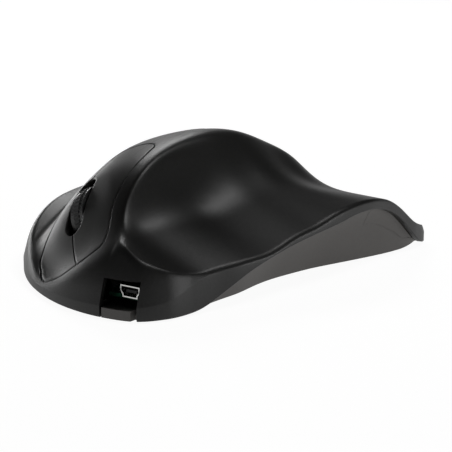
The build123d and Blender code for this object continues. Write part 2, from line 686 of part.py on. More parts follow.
# Frame that carries the switch board on four legs
LEG_PLACES = [(11.6, -16.5), (-11.6, -7.5), (-11.6, 15.6), (11.6, 15.6)]
LEG_TILT = -8.0
LEG_R = 2.0
FRAME_THICK = 1.5
DECK_SCREW_R = 0.8
legs_xy = [(on_deck(a, f, LEG_TILT).X, on_deck(a, f, LEG_TILT).Y) for a, f in LEG_PLACES]

with BuildPart() as deck_frame:
    add(upright_posts(legs_xy, LEG_R, (FLOOR_TOP, FAR)))
    add(deck_box((-FAR, FAR), (-FAR, FAR), (DECK_BOARD_BOTTOM, FAR)), mode=Mode.SUBTRACT)
    with BuildSketch(DECK.offset(DECK_BOARD_BOTTOM - FRAME_THICK)):
        with BuildLine():
            Polyline(*DECK_PLAN, close=True)
        make_face()
        with Locations((0, WHEEL_BACK)):
            Rectangle(WINDOW[0] + 5, WINDOW[1] + 1, mode=Mode.SUBTRACT)
    extrude(amount=FRAME_THICK)
    with BuildSketch(DECK.offset(DECK_BOARD_BOTTOM - 5)):
        with Locations(*DECK_SCREWS):
            Circle(2.0)
    extrude(amount=5)
    with BuildSketch(DECK.offset(DECK_BOARD_BOTTOM - 4)):
        with Locations(*DECK_SCREWS):
            Circle(DECK_SCREW_R)
    extrude(amount=6, mode=Mode.SUBTRACT)
    add(upright_box((-FAR, FAR), (-FAR, FAR), (VOID_BOTTOM, FLOOR_TOP)), mode=Mode.SUBTRACT)
    add(upright_posts([legs_xy[0], legs_xy[3]], SCREW_R, (0, 7)), mode=Mode.SUBTRACT)

with BuildPart() as deck_screws:
    with BuildSketch(DECK.offset(DECK_BOARD_BOTTOM - 4)):
        with Locations(*DECK_SCREWS):
            Circle(DECK_SCREW_R)
    extrude(amount=4 + BOARD_THICK)
    with BuildSketch(DECK.offset(DECK_BOARD_TOP)):
        with Locations(*DECK_SCREWS):
            Circle(1.6)
    extrude(amount=1.1)

# Main board and what is soldered to it
MAIN_PLAN = [(15, -68), (30.5, -68), (33, -62), (33, -4), (-22, -4), (-22, -23), (8.5, -23),
             (8.5, -50), (12.5, -50), (12.5, -63), (15, -63)]
MAIN_SCREWS = [(30, -42), (-19, -20), (29, -8)]
MAIN_SCREW_R = 0.8
MAIN_POST_R = 2.4
SENSOR = (2, -14)
SWITCH_XY = (-14, -9)

with BuildPart() as main_board:
    with BuildSketch(Plane.XY.offset(BOARD_TOP - BOARD_THICK)):
        with BuildLine():
            Polyline(*MAIN_PLAN, close=True)
        make_face()
        with Locations(*MAIN_SCREWS):
            Circle(1.2, mode=Mode.SUBTRACT)
        with Locations(SENSOR):
            Rectangle(5, 6, mode=Mode.SUBTRACT)
    extrude(amount=BOARD_THICK)

with BuildPart() as controller_chip:
    add(upright_box((17, 25), (-36, -28), (BOARD_TOP, BOARD_TOP + 1.2)))

SOCKET_SHAPE = [(-3.85, 3.9), (3.85, 3.9), (3.85, 1.9), (3.0, 0.9), (3.0, 0), (-3.0, 0), (-3.0, 0.9),
                (-3.85, 1.9)]
SOCKET_LENGTH = 9.2
SOCKET_WALL = 0.4
socket_face = Plane(origin=(SOCKET_X, SOCKET_FRONT_Y, BOARD_TOP), x_dir=(1, 0, 0), z_dir=(0, -1, 0))
with BuildPart() as usb_socket:
    with BuildSketch(socket_face):
        with BuildLine():
            Polyline(*SOCKET_SHAPE, close=True)
        make_face()
    extrude(amount=-SOCKET_LENGTH)
    with BuildSketch(socket_face):
        with BuildLine():
            Polyline(*SOCKET_SHAPE, close=True)
        make_face()
        offset(amount=-SOCKET_WALL)
    extrude(amount=-(SOCKET_LENGTH - 1), mode=Mode.SUBTRACT)

with BuildPart() as usb_tongue:
    add(upright_box((SOCKET_X - 2.1, SOCKET_X + 2.1),
                    (SOCKET_FRONT_Y + 0.8, SOCKET_FRONT_Y + SOCKET_LENGTH - 1),
                    (BOARD_TOP + 1.5, BOARD_TOP + 2.4)))

with BuildPart() as optical_sensor:
    add(upright_box((SENSOR[0] - 6, SENSOR[0] + 6), (SENSOR[1] - 5, SENSOR[1] + 5),
                    (BOARD_TOP, BOARD_TOP + 2.8)))

with BuildPart() as sensor_lens:
    add(upright_box((SENSOR[0] - 9, SENSOR[0] + 9), (SENSOR[1] - 6, SENSOR[1] + 6), (FLOOR_TOP, 4.4)))
    with BuildSketch(Plane.XY.offset(4.4)):
        with Locations(SENSOR):
            Circle(1.8)
    extrude(amount=2.2, taper=12)

with BuildPart() as sensor_led:
    with BuildSketch(Plane(origin=(SENSOR[0], SENSOR[1] + 5.4, BOARD_TOP + 1.5), z_dir=(0, 1, 0))):
        Circle(1.5)
    extrude(amount=4)

# Power switch under the board, moved by a slider in the base
SLIDE_TRAVEL = 3.0
with BuildPart() as power_switch:
    add(upright_box((SWITCH_XY[0] - 2.6, SWITCH_XY[0] + 2.6), (SWITCH_XY[1] - 5, SWITCH_XY[1] + 5),
                    (3.6, BOARD_TOP - BOARD_THICK)))
    add(upright_box((SWITCH_XY[0] - 1.1, SWITCH_XY[0] + 1.1), (SWITCH_XY[1] - 3, SWITCH_XY[1] + 3),
                    (3, 5)), mode=Mode.SUBTRACT)

slider_y = SWITCH_XY[1] - SLIDE_TRAVEL / 2
with BuildPart() as power_slider:
    add(upright_box((SWITCH_XY[0] - 1.2, SWITCH_XY[0] + 1.2), (slider_y - 1.5, slider_y + 1.5), (0.9, 2.6)))
    add(upright_box((SWITCH_XY[0] - 2.4, SWITCH_XY[0] + 2.4), (slider_y - 2.2, slider_y + 2.2), (2.5, 3.3)))
    add(upright_box((SWITCH_XY[0] - 0.8, SWITCH_XY[0] + 0.8), (slider_y - 0.9, slider_y + 0.9), (3.2, 4.6)))

# Battery in the hump, with its two leads
BATTERY_X = (-19, 14)
BATTERY_Y = (3, 43)
with BuildPart() as battery_pack:
    with BuildSketch(Plane.XY.offset(FLOOR_TOP)):
        with Locations((sum(BATTERY_X) / 2, sum(BATTERY_Y) / 2)):
            RectangleRounded(BATTERY_X[1] - BATTERY_X[0], BATTERY_Y[1] - BATTERY_Y[0], 2)
    extrude(amount=7.5)

with BuildPart() as battery_connector:
    add(upright_box((-14, -6), (-8, -5), (BOARD_TOP, BOARD_TOP + 3)))


def wire(points, start, end, radius):
    """One insulated wire along a smooth path."""
    with BuildPart() as run:
        with BuildLine() as path:
            Spline(*points, tangents=[start, end])
        with BuildSketch(Plane(origin=path.line @ 0, z_dir=path.line % 0)):
            Circle(radius)
        sweep()
    return run.part


with BuildPart() as battery_leads:
    for x in (-11.6, -8.4):
        add(wire([(x, -5, 8.4), (x, -1, 8.2), (x, 3, 6.5)], (0, 1, 0), (0, 1, 0), 0.6))

# Wires from the switch board down to the main board
with BuildPart() as deck_connector:
    add(deck_box((-3.6, 3.6), (-19.6, -17.4), (DECK_BOARD_TOP, DECK_BOARD_TOP + 2.4)))

# Base: flat floor, cove under the wing and the sill of the socket mouth
tray = tray_block(TRAY_STATIONS, inset_ring(WALL + TRAY_GAP))
front = inset_ring(0.15)
front = front[(front[:, 1] < -70) & (front[:, 0] > PORT_LEFT) & (front[:, 0] < PORT_RIGHT)]
front = front[np.argsort(front[:, 0])][::5]
with BuildPart() as sill:
    with BuildSketch(Plane.XY.offset(SILL_BOTTOM)):
        with BuildLine():
            edge = Spline(*[(float(x), float(y)) for x, y in front])
            Polyline(edge @ 1, ((edge @ 1).X, -71.4), ((edge @ 0).X, -71.4), edge @ 0)
        make_face()
    extrude(amount=SILL_TOP - SILL_BOTTOM)

FEET = {"front_foot": ((-9, -58), 28, 7, -28), "rear_foot": ((6, 61), 40, 8, 0),
        "side_foot": ((-42, 6), 26, 8, 80)}
FOOT_SINK = 0.4

with BuildPart() as feet_pockets:
    for centre, length, width, turn in FEET.values():
        with BuildSketch(Plane.XY):
            with Locations(centre):
                SlotOverall(length + 0.2, width + 0.2, rotation=turn)
        extrude(amount=LIFT + FOOT_SINK)

LINER_PLAN = [(47.3, 30.8), (47.9, 33.4), (48.5, 37.7), (49, 41.7), (49.6, 47.6), (50, 54), (50.2, 58),
              (51, 61), (60, 66), (66, 48), (62, 34), (54, 32.4)]


def liner_prism(gap):
    """Plan of the separate panel under the back of the wing."""
    with BuildPart() as prism:
        with BuildSketch(Plane.XY):
            with BuildLine():
                Polyline(*LINER_PLAN, close=True)
            make_face()
            if gap:
                offset(amount=-gap)
        extrude(amount=40)
    return prism.part


with BuildPart() as base_plate:
    add(tray)
    add(sill.part)
    add(upright_posts(MAIN_SCREWS, MAIN_POST_R, (LIFT + 1, BOARD_TOP - BOARD_THICK)))
    add(upright_posts(CASE_SCREWS, CASE_POST_R, (LIFT + 1, CASE_BOSS_BOTTOM - 0.3)))
    with BuildSketch(Plane.XY.offset(FLOOR_TOP - 0.4)):
        with Locations((sum(BATTERY_X) / 2, sum(BATTERY_Y) / 2)):
            Rectangle(BATTERY_X[1] - BATTERY_X[0] + 2.8, BATTERY_Y[1] - BATTERY_Y[0] + 2.8)
            Rectangle(BATTERY_X[1] - BATTERY_X[0] + 0.4, BATTERY_Y[1] - BATTERY_Y[0] + 0.4,
                      mode=Mode.SUBTRACT)
    extrude(amount=2.0)
    add(liner_prism(0), mode=Mode.SUBTRACT)
    add(feet_pockets.part, mode=Mode.SUBTRACT)
    add(upright_posts(CASE_SCREWS, HEAD_R + HEAD_PLAY, (0, FLOOR_TOP)), mode=Mode.SUBTRACT)
    add(upright_posts(CASE_SCREWS, SCREW_R + SCREW_PLAY, (0, 6)), mode=Mode.SUBTRACT)
    add(upright_posts(MAIN_SCREWS, MAIN_SCREW_R, (3, 8)), mode=Mode.SUBTRACT)
    add(upright_posts([legs_xy[0], legs_xy[3]], SCREW_R + SCREW_PLAY, (0, 6)), mode=Mode.SUBTRACT)
    add(upright_box((SENSOR[0] - 3.5, SENSOR[0] + 3.5), (SENSOR[1] - 4, SENSOR[1] + 4), (0, 3)),
        mode=Mode.SUBTRACT)
    add(upright_box((SWITCH_XY[0] - 1.5, SWITCH_XY[0] + 1.5),
                    (slider_y - 1.9, slider_y + SLIDE_TRAVEL + 1.9), (0, 3)), mode=Mode.SUBTRACT)

with BuildPart() as wing_liner:
    add(tray)
    add(liner_prism(0.15), mode=Mode.INTERSECT)

with BuildPart() as case_screws:
    add(upright_posts(CASE_SCREWS, HEAD_R, (0.9, FLOOR_TOP)))
    add(upright_posts(CASE_SCREWS, SCREW_R, (FLOOR_TOP, CASE_SCREW_TOP)))
    with BuildSketch(Plane.XY.offset(0.9)):
        with Locations(*CASE_SCREWS):
            RegularPolygon(1.1, 6)
    extrude(amount=0.8, mode=Mode.SUBTRACT)

with BuildPart() as leg_screws:
    add(upright_posts([legs_xy[0], legs_xy[3]], SCREW_R, (LIFT + 0.1, 6.5)))

with BuildPart() as board_screws:
    add(upright_posts(MAIN_SCREWS, MAIN_SCREW_R, (3.2, BOARD_TOP)))
    add(upright_posts(MAIN_SCREWS, 1.9, (BOARD_TOP, BOARD_TOP + 1.2)))

feet = {}
for name, (centre, length, width, turn) in FEET.items():
    with BuildPart() as foot:
        with BuildSketch(Plane.XY):
            with Locations(centre):
                SlotOverall(length, width, rotation=turn)
        extrude(amount=LIFT + FOOT_SINK)
    feet[name] = foot.part

PIECES = {
    "top_shell": top_shell.part,
    "base_plate": base_plate.part,
    "wing_liner": wing_liner.part,
    "left_button": left_button.part,
    "right_button": right_button.part,
    "button_hinge_pin": button_hinge_pin.part,
    "wheel_hub": wheel_hub.part,
    "wheel_tyre": wheel_tyre.part,
    "wheel_axle": wheel_axle.part,
    "wheel_carrier": wheel_carrier.part,
    "wheel_encoder": wheel_encoder.part,
    "carrier_pin": carrier_pin.part,
    "wheel_bracket": wheel_bracket.part,
    "switch_board": switch_board.part,
    "left_switch": left_switch.part,
    "right_switch": right_switch.part,
    "middle_switch": middle_switch.part,
    "deck_frame": deck_frame.part,
    "deck_screws": deck_screws.part,
    "main_board": main_board.part,
    "controller_chip": controller_chip.part,
    "usb_socket": usb_socket.part,
    "usb_tongue": usb_tongue.part,
    "optical_sensor": optical_sensor.part,
    "sensor_lens": sensor_lens.part,
    "sensor_led": sensor_led.part,
    "power_switch": power_switch.part,
    "power_slider": power_slider.part,
    "battery_pack": battery_pack.part,
    "battery_connector": battery_connector.part,
    "battery_leads": battery_leads.part,
    "deck_connector": deck_connector.part,
    "case_screws": case_screws.part,
    "leg_screws": leg_screws.part,
    "board_screws": board_screws.part,
    **feet,
}
for name, piece in PIECES.items():
    piece.label = name
    export_step(piece, f"parts/{name}.step")
    print(name, len(piece.solids()), round(piece.volume, 1))
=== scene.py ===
# %% [markdown]
# An ergonomic mouse with a thumb wing.
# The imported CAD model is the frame: it holds every piece at its real size and place, and the
# bodies that move. This lesson dresses it. The moulded shells and the buttons get the rounded
# edges that a mould leaves, and every piece, inside ones too, gets a finish of its own.

# %% The frame
import json
from math import cos, radians, sin

import bpy
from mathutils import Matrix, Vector


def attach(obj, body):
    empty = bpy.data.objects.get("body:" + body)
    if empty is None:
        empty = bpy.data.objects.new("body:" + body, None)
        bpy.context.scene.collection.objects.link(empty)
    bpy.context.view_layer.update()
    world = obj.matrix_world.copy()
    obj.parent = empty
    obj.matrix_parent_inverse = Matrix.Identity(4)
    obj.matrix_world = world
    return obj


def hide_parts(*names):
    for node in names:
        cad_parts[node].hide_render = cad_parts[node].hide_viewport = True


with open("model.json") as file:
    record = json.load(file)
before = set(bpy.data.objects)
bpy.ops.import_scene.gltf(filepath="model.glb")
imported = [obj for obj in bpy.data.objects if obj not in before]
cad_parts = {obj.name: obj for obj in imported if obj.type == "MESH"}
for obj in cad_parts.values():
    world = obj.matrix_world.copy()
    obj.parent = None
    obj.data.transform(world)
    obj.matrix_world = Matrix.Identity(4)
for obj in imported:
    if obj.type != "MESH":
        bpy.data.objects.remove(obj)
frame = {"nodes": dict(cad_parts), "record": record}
nodes = frame["nodes"]
scene = bpy.context.scene
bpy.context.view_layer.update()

# %% [markdown]
# Camera.
# The photograph looks down by 14 degrees on the front and the thumb side, from 36 degrees round.
# A long lens keeps the perspective flat, as in a product picture.

# %% Camera
AZIMUTH = radians(36)
ELEVATION = radians(14)
DISTANCE = 0.6
LOOK_AT = Vector((0.035, -0.033, 0.022))
FRAME_WIDTH = 452         # width of the photograph in pixels
FOCAL_LENGTH = 1860       # focal length in the same pixels
RAISED_BY = 6             # how far the picture sits above the middle
SENSOR = 36
back = Vector((sin(AZIMUTH) * cos(ELEVATION), -cos(AZIMUTH) * cos(ELEVATION), sin(ELEVATION)))
lens = bpy.data.cameras.new("camera")
lens.sensor_width = SENSOR
lens.lens = SENSOR * FOCAL_LENGTH / FRAME_WIDTH
lens.shift_y = RAISED_BY / FRAME_WIDTH
lens.clip_start = 0.01
lens.clip_end = 20
camera = bpy.data.objects.new("camera", lens)
camera.location = LOOK_AT + back * DISTANCE
camera.rotation_mode = "QUATERNION"
camera.rotation_quaternion = (-back).to_track_quat("-Z", "Y")
scene.collection.objects.link(camera)
scene.camera = camera
print("lens", round(lens.lens, 1), "mm")

# %% [markdown]
# Soft boxes.
# Black plastic is drawn by what it reflects, so each lamp is placed where a part of the surface
# mirrors it to the camera. A soft box at the back left gives the sheen of the crest and the streak
# in the scoop, one overhead the edge of the lip, and two low ones the flange and the underside.

# %% Soft boxes
scene.view_settings.view_transform = "Standard"


def soft_box(name, place, target, size, watts):
    """A rectangular lamp that points at a place."""
    lamp = bpy.data.lights.new(name, "AREA")
    lamp.shape = "RECTANGLE"
    lamp.size, lamp.size_y = size
    lamp.energy = watts
    holder = bpy.data.objects.new(name, lamp)
    holder.location = place
    holder.rotation_mode = "QUATERNION"
    holder.rotation_quaternion = (Vector(target) - Vector(place)).to_track_quat("-Z", "Y")
    scene.collection.objects.link(holder)


soft_box("left_back", (-0.62, 0.58, 0.62), (0, 0, 0.02), (0.4, 0.25), 2.2)
soft_box("overhead", (0.3, 0.16, 0.8), (0.03, -0.02, 0.02), (0.25, 0.25), 1.5)
soft_box("left_flank", (-0.9, 0.36, 0.07), (-0.03, -0.03, 0.01), (0.6, 0.1), 0.9)
soft_box("low_right", (0.8, 0.3, 0.06), (0.04, 0, 0.01), (0.3, 0.1), 0.9)
print(len(bpy.data.lights), "soft boxes")

# %% [markdown]
# The sky.
# An even grey world would flatten black plastic. Here the sky is bright only near the horizon,
# like a white sweep behind a product, and more so on the flange's side, which greys the front
# wall and the flange and leaves the top dark.

# %% Sky
BRIGHT_BAND = (0.03, 0.25)     # height in the sky where the band starts to fade, and where it ends
BAND_LEVELS = (0.75, 0.02)
SIDE_LEVELS = (1.25, 0.5)      # on the flange's side and on the thumb side
world = bpy.data.worlds.new("studio")
scene.world = world
world.use_nodes = True
tree = world.node_tree
sky = tree.nodes["Background"]
sky.inputs["Color"].default_value = (1, 1, 1, 1)
heading = tree.nodes.new("ShaderNodeTexCoord")
parts = tree.nodes.new("ShaderNodeSeparateXYZ")
fade = tree.nodes.new("ShaderNodeMapRange")
fade.inputs["From Min"].default_value, fade.inputs["From Max"].default_value = BRIGHT_BAND
fade.inputs["To Min"].default_value, fade.inputs["To Max"].default_value = BAND_LEVELS
sides = tree.nodes.new("ShaderNodeMapRange")
sides.inputs["From Min"].default_value = -1
sides.inputs["To Min"].default_value, sides.inputs["To Max"].default_value = SIDE_LEVELS
product = tree.nodes.new("ShaderNodeMath")
product.operation = "MULTIPLY"
tree.links.new(heading.outputs["Generated"], parts.inputs[0])
tree.links.new(parts.outputs["Z"], fade.inputs["Value"])
tree.links.new(parts.outputs["X"], sides.inputs["Value"])
tree.links.new(fade.outputs["Result"], product.inputs[0])
tree.links.new(sides.outputs["Result"], product.inputs[1])
tree.links.new(product.outputs[0], sky.inputs["Strength"])
print("sky from", BAND_LEVELS[0] * SIDE_LEVELS[1], "to", BAND_LEVELS[0] * SIDE_LEVELS[0])

# %% [markdown]
# The paper.
# A product photograph stands on white paper. Plain white would come out grey under these weak
# lamps, so the paper also glows: strongly to the camera, and less in reflections. The rest of it
# is matt and takes the shadow of the mouse.

# %% Paper floor
GLOW = 1.15
GLOW_SHARE = 0.4               # share of glow in reflections
CAMERA_EXTRA = 0.42            # what is added to that share where the camera sees the paper
bpy.ops.mesh.primitive_plane_add(size=6, location=(0, 0, 0))
floor = bpy.context.object
floor.name = "paper_floor"
paper = bpy.data.materials.new("paper")
paper.use_nodes = True
tree = paper.node_tree
matt = tree.nodes["Principled BSDF"]
matt.inputs["Base Color"].default_value = (0.85, 0.85, 0.85, 1)
matt.inputs["Roughness"].default_value = 0.8
glow = tree.nodes.new("ShaderNodeEmission")
glow.inputs["Strength"].default_value = GLOW
rays = tree.nodes.new("ShaderNodeLightPath")
seen = tree.nodes.new("ShaderNodeMath")
seen.operation = "MULTIPLY_ADD"
seen.inputs[1].default_value = CAMERA_EXTRA
seen.inputs[2].default_value = GLOW_SHARE
blend = tree.nodes.new("ShaderNodeMixShader")
tree.links.new(rays.outputs["Is Camera Ray"], seen.inputs[0])
tree.links.new(seen.outputs[0], blend.inputs["Fac"])
tree.links.new(matt.outputs[0], blend.inputs[1])
tree.links.new(glow.outputs[0], blend.inputs[2])
tree.links.new(blend.outputs[0], tree.nodes["Material Output"].inputs["Surface"])
floor.data.materials.append(paper)
print("floor", round(floor.dimensions.x, 1), "m wide")

# %% [markdown]
# Finishes.
# Every finish starts from the same three nodes: object coordinates, a noise at the scale of the
# real grain, and a bump. What differs is the colour, the gloss and how coarse the grain is.
# Object coordinates are in metres, so a noise scale of 4000 makes grains of a quarter millimetre.

# %% The base of every finish
GRAIN = 4000.0


def finish(name, colour, rough, grain=GRAIN, depth=0.05, spread=0.06, metal=0.0, stretch=(1, 1, 1)):
    """A surface with a fine grain in its relief and in its gloss."""
    made = bpy.data.materials.new(name)
    made.use_nodes = True
    tree = made.node_tree
    shader = tree.nodes["Principled BSDF"]
    shader.inputs["Base Color"].default_value = (*colour, 1)
    shader.inputs["Metallic"].default_value = metal
    place = tree.nodes.new("ShaderNodeTexCoord")
    turn = tree.nodes.new("ShaderNodeMapping")
    turn.inputs["Scale"].default_value = stretch
    noise = tree.nodes.new("ShaderNodeTexNoise")
    noise.inputs["Scale"].default_value = grain
    noise.inputs["Detail"].default_value = 2
    relief = tree.nodes.new("ShaderNodeBump")
    relief.inputs["Strength"].default_value = 1
    relief.inputs["Distance"].default_value = depth / 1000
    gloss = tree.nodes.new("ShaderNodeMapRange")
    gloss.inputs["To Min"].default_value = max(rough - spread, 0.02)
    gloss.inputs["To Max"].default_value = min(rough + spread, 1)
    tree.links.new(place.outputs["Object"], turn.inputs["Vector"])
    tree.links.new(turn.outputs["Vector"], noise.inputs["Vector"])
    tree.links.new(noise.outputs["Fac"], relief.inputs["Height"])
    tree.links.new(relief.outputs["Normal"], shader.inputs["Normal"])
    tree.links.new(noise.outputs["Fac"], gloss.inputs["Value"])
    tree.links.new(gloss.outputs["Result"], shader.inputs["Roughness"])
    return made


print("default grain", 1000 / GRAIN, "mm")

# %% [markdown]
# The shell plastic.
# The top shell and both buttons are black plastic with a fine spark-eroded grain: the mould's
# texture breaks each highlight into a soft, slightly sandy sheen. The base is the same plastic
# family in a warmer grey, painted paler than its real near-black: painted light for the bright
# underside. No moulding is one flat tone, so a larger noise leads between two close colours.

# %% Shell and base plastic
def cloud_colour(made, low, high, scale, sharp=0.0):
    """Lets the colour drift between two tones, in patches of a given size."""
    tree = made.node_tree
    place = tree.nodes["Texture Coordinate"]
    noise = tree.nodes.new("ShaderNodeTexNoise")
    noise.inputs["Scale"].default_value = scale
    noise.inputs["Detail"].default_value = 3
    ramp = tree.nodes.new("ShaderNodeValToRGB")
    ramp.color_ramp.elements[0].position = 0.3 + sharp
    ramp.color_ramp.elements[1].position = 0.7 - sharp
    ramp.color_ramp.elements[0].color = (*low, 1)
    ramp.color_ramp.elements[1].color = (*high, 1)
    tree.links.new(place.outputs["Object"], noise.inputs["Vector"])
    tree.links.new(noise.outputs["Fac"], ramp.inputs["Fac"])
    tree.links.new(ramp.outputs["Color"], tree.nodes["Principled BSDF"].inputs["Base Color"])


shell_plastic = finish("satin_black_plastic", (0.008, 0.008, 0.008), 0.4, 2600, 0.03, 0.05)
cloud_colour(shell_plastic, (0.007, 0.007, 0.0065), (0.011, 0.011, 0.0105), 900)
# painted light: the base's grey is lifted well above its real black to stand in for the light on the
# underside
base_plastic_painted_light = finish("warm_grey_plastic_painted_light", (0.1, 0.095, 0.09), 0.5, 3000, 0.015, 0.06)
cloud_colour(base_plastic_painted_light, (0.097, 0.092, 0.087), (0.104, 0.099, 0.094), 900)
print(shell_plastic.name, "and", base_plastic_painted_light.name)

# %% [markdown]
# Finishes of the working pieces.
# The wheel has a dull rubber tyre on a glossier hub. Pins and screws are steel with drawn lines,
# the boards carry a green lacquer over the weave of the laminate, and the battery wears a film.

# %% Working pieces
rubber = finish("tyre_rubber", (0.02, 0.02, 0.02), 0.62, 2500, 0.03, 0.08)
cloud_colour(rubber, (0.016, 0.016, 0.016), (0.03, 0.03, 0.03), 700)
hub_plastic = finish("hub_plastic", (0.012, 0.012, 0.012), 0.28, 2200, 0.006, 0.05)
inner_plastic = finish("inner_black_plastic", (0.015, 0.015, 0.016), 0.5, 2500, 0.02)
frame_plastic = finish("frame_grey_plastic", (0.08, 0.08, 0.082), 0.5, 2200, 0.02)
cloud_colour(frame_plastic, (0.07, 0.07, 0.072), (0.09, 0.09, 0.092), 400)
steel = finish("drawn_steel", (0.55, 0.55, 0.54), 0.28, 1800, 0.006, 0.1, metal=1, stretch=(1, 1, 6))
chrome = finish("socket_plating", (0.75, 0.75, 0.73), 0.16, 1500, 0.004, 0.05, metal=1)
lacquer = finish("board_lacquer", (0.01, 0.06, 0.03), 0.3, 2600, 0.02, 0.08)
cloud_colour(lacquer, (0.006, 0.045, 0.022), (0.014, 0.085, 0.045), 260, 0.15)
switch_plastic = finish("switch_plastic", (0.02, 0.02, 0.022), 0.4, 2400, 0.01)
lens_clear = finish("clear_lens", (0.9, 0.92, 0.94), 0.08, 900, 0.002, 0.03)
shader = lens_clear.node_tree.nodes["Principled BSDF"]
shader.inputs["Transmission Weight"].default_value = 0.9
shader.inputs["IOR"].default_value = 1.49
film = finish("battery_film", (0.05, 0.08, 0.12), 0.3, 700, 0.02, 0.08)
cloud_colour(film, (0.045, 0.07, 0.11), (0.06, 0.09, 0.13), 120)
insulation = finish("wire_insulation", (0.4, 0.02, 0.015), 0.4, 2500, 0.01)
nylon = finish("connector_nylon", (0.6, 0.57, 0.48), 0.45, 2500, 0.015)
slick = finish("slick_foot", (0.02, 0.02, 0.022), 0.3, 1500, 0.01, 0.08)
FINISHES = {
    "shell": shell_plastic, "base": base_plastic_painted_light, "tyre": rubber, "hub": hub_plastic,
    "inner": inner_plastic, "frame": frame_plastic, "steel": steel, "socket": chrome,
    "board": lacquer, "switch": switch_plastic, "lens": lens_clear, "battery": film,
    "wire": insulation, "connector": nylon, "foot": slick,
}
print(len(FINISHES), "finishes")

# %% [markdown]
# From slots to finishes.
# The record gives every piece a material slot. The pieces of the frame keep their place and
# their shape, and only their material is set, inside pieces too.

# %% Finish of each CAD piece
slot_of = {row["node"]: row["material_slot"] for row in frame["record"]["subparts"]}
for name, piece in nodes.items():
    piece.data.materials.clear()
    piece.data.materials.append(FINISHES[slot_of[name]])
print(len(slot_of), "pieces finished")

# %% [markdown]
# The sculpted surface.
# On the real mouse one smooth surface runs through the shell and both buttons. It could be
# pushed into shape by eye on a subdivided grid, but then the seams wouldn't lie on it and the
# pieces would no longer match the frame. So its height over the desk is worked out from a few
# curves along the mouse, in millimetres: the crest, the lip, the flange and the steep walls.
# A curve goes smoothly through its knots without waves between them, and is averaged a little.

# %% A smooth curve
import bmesh
import numpy as np
from mathutils.geometry import delaunay_2d_cdt
from mathutils.kdtree import KDTree

EVEN_LENGTH = 7.5         # length over which the curves along the mouse are averaged


def span_weights(s):
    """What the start, its slope, the end and its slope count for at a share s of a span."""
    return 2 * s**3 - 3 * s**2 + 1, s**3 - 2 * s**2 + s, 3 * s**2 - 2 * s**3, s**3 - s**2


def follow(*knots):
    """A smooth curve along (position, value) pairs, averaged so that its bend changes slowly."""
    at, value = np.array(knots, float).T
    step = np.diff(at)
    slope = np.diff(value) / step
    tangent = np.zeros(len(at))
    for i in range(1, len(at) - 1):
        if slope[i - 1] * slope[i] > 0:
            before = 2 * step[i] + step[i - 1]
            after = step[i] + 2 * step[i - 1]
            tangent[i] = (before + after) / (before / slope[i - 1] + after / slope[i])
    tangent[0] = slope[0]
    tangent[-1] = slope[-1]

    places = np.arange(-100, 100.05, 0.1)
    x = np.clip(places, at[0], at[-1])
    i = np.clip(np.searchsorted(at, x) - 1, 0, len(at) - 2)
    start, leave, end, arrive = span_weights((x - at[i]) / step[i])
    line = (
        start * value[i] + leave * step[i] * tangent[i]
        + end * value[i + 1] + arrive * step[i] * tangent[i + 1]
        + slope[0] * np.minimum(places - at[0], 0)
        + slope[-1] * np.maximum(places - at[-1], 0)
    )
    weight = 1 - np.abs(np.arange(-EVEN_LENGTH, EVEN_LENGTH + 0.05, 0.1)) / (EVEN_LENGTH + 0.1)
    even = np.convolve(line, weight / weight.sum(), mode="same")
    return lambda x: np.interp(x, places, even)


print("half way up a test step:", round(float(follow((-50, 0), (50, 1))(0)), 3))

# %% [markdown]
# The outline in plan.
# Seen from above the mouse is a leaf with a wide wing. Thirty places round it, joined by a closed
# curve, are enough for it, and each also says how steeply the wall rises there.

# %% Outline
# From the front, thumb side first: x, y and steepness
OUTLINE = [
    (18, -76, 8), (30, -73.5, 9), (36.2, -65.5, 11), (38.9, -55.5, 15), (41.6, -47, 22),
    (45, -38, 40), (48, -27, 40), (50, -14, 40), (52, -3, 40), (54.2, 9, 40), (55, 22, 40),
    (54.3, 36, 40), (53.8, 47, 34), (53.3, 58, 16), (51, 67, 8), (45, 73, 6.4),
    (33, 76, 6), (15, 76.1, 6), (-5, 73, 6), (-24, 65, 6), (-39, 51.5, 6), (-49, 34, 7),
    (-54, 14, 8), (-55, -8, 8), (-52.5, -26, 8.5), (-46, -40, 8.5), (-36, -51.5, 8),
    (-22.5, -62.6, 7), (-8, -70.6, 6.8), (5, -74.8, 7.2),
]


def catmull(points, per_span=24):
    """A closed curve through the outline points, as a dense ring."""
    p = np.array(points, float)
    ring = []
    for i in range(len(p)):
        p0, p1, p2, p3 = p[i - 1], p[i], p[(i + 1) % len(p)], p[(i + 2) % len(p)]
        t1 = np.linalg.norm((p1 - p0)[:2]) ** 0.5
        t2 = t1 + np.linalg.norm((p2 - p1)[:2]) ** 0.5
        t3 = t2 + np.linalg.norm((p3 - p2)[:2]) ** 0.5
        t = np.linspace(t1, t2, per_span, endpoint=False)[:, None]
        a1 = (t1 - t) / t1 * p0 + t / t1 * p1
        a2 = (t2 - t) / (t2 - t1) * p1 + (t - t1) / (t2 - t1) * p2
        a3 = (t3 - t) / (t3 - t2) * p2 + (t - t2) / (t3 - t2) * p3
        b1 = (t2 - t) / t2 * a1 + t / t2 * a2
        b2 = (t3 - t) / (t3 - t1) * a2 + (t - t1) / (t3 - t1) * a3
        ring.append((t2 - t) / (t2 - t1) * b1 + (t - t1) / (t2 - t1) * b2)
    return np.concatenate(ring)


RING = catmull(OUTLINE)


def inset(points, amount):
    """The points of an anticlockwise outline moved inwards by an amount."""
    xy = np.array(points, float)
    along = np.roll(xy, -1, 0) - np.roll(xy, 1, 0)
    along /= np.linalg.norm(along, axis=1, keepdims=True)
    return xy + amount * np.column_stack([-along[:, 1], along[:, 0]])


def inset_ring(amount):
    """The outline of the mouse moved inwards by an amount."""
    return inset(RING[:, :2], amount)


print(len(RING), "points round the outline")

# %% [markdown]
# The crest and the flange.
# One ridge runs from the nose over the hump to the heel. It falls away in a round shoulder to a
# low flange for the little finger. Each measure of that section is a curve along the mouse.

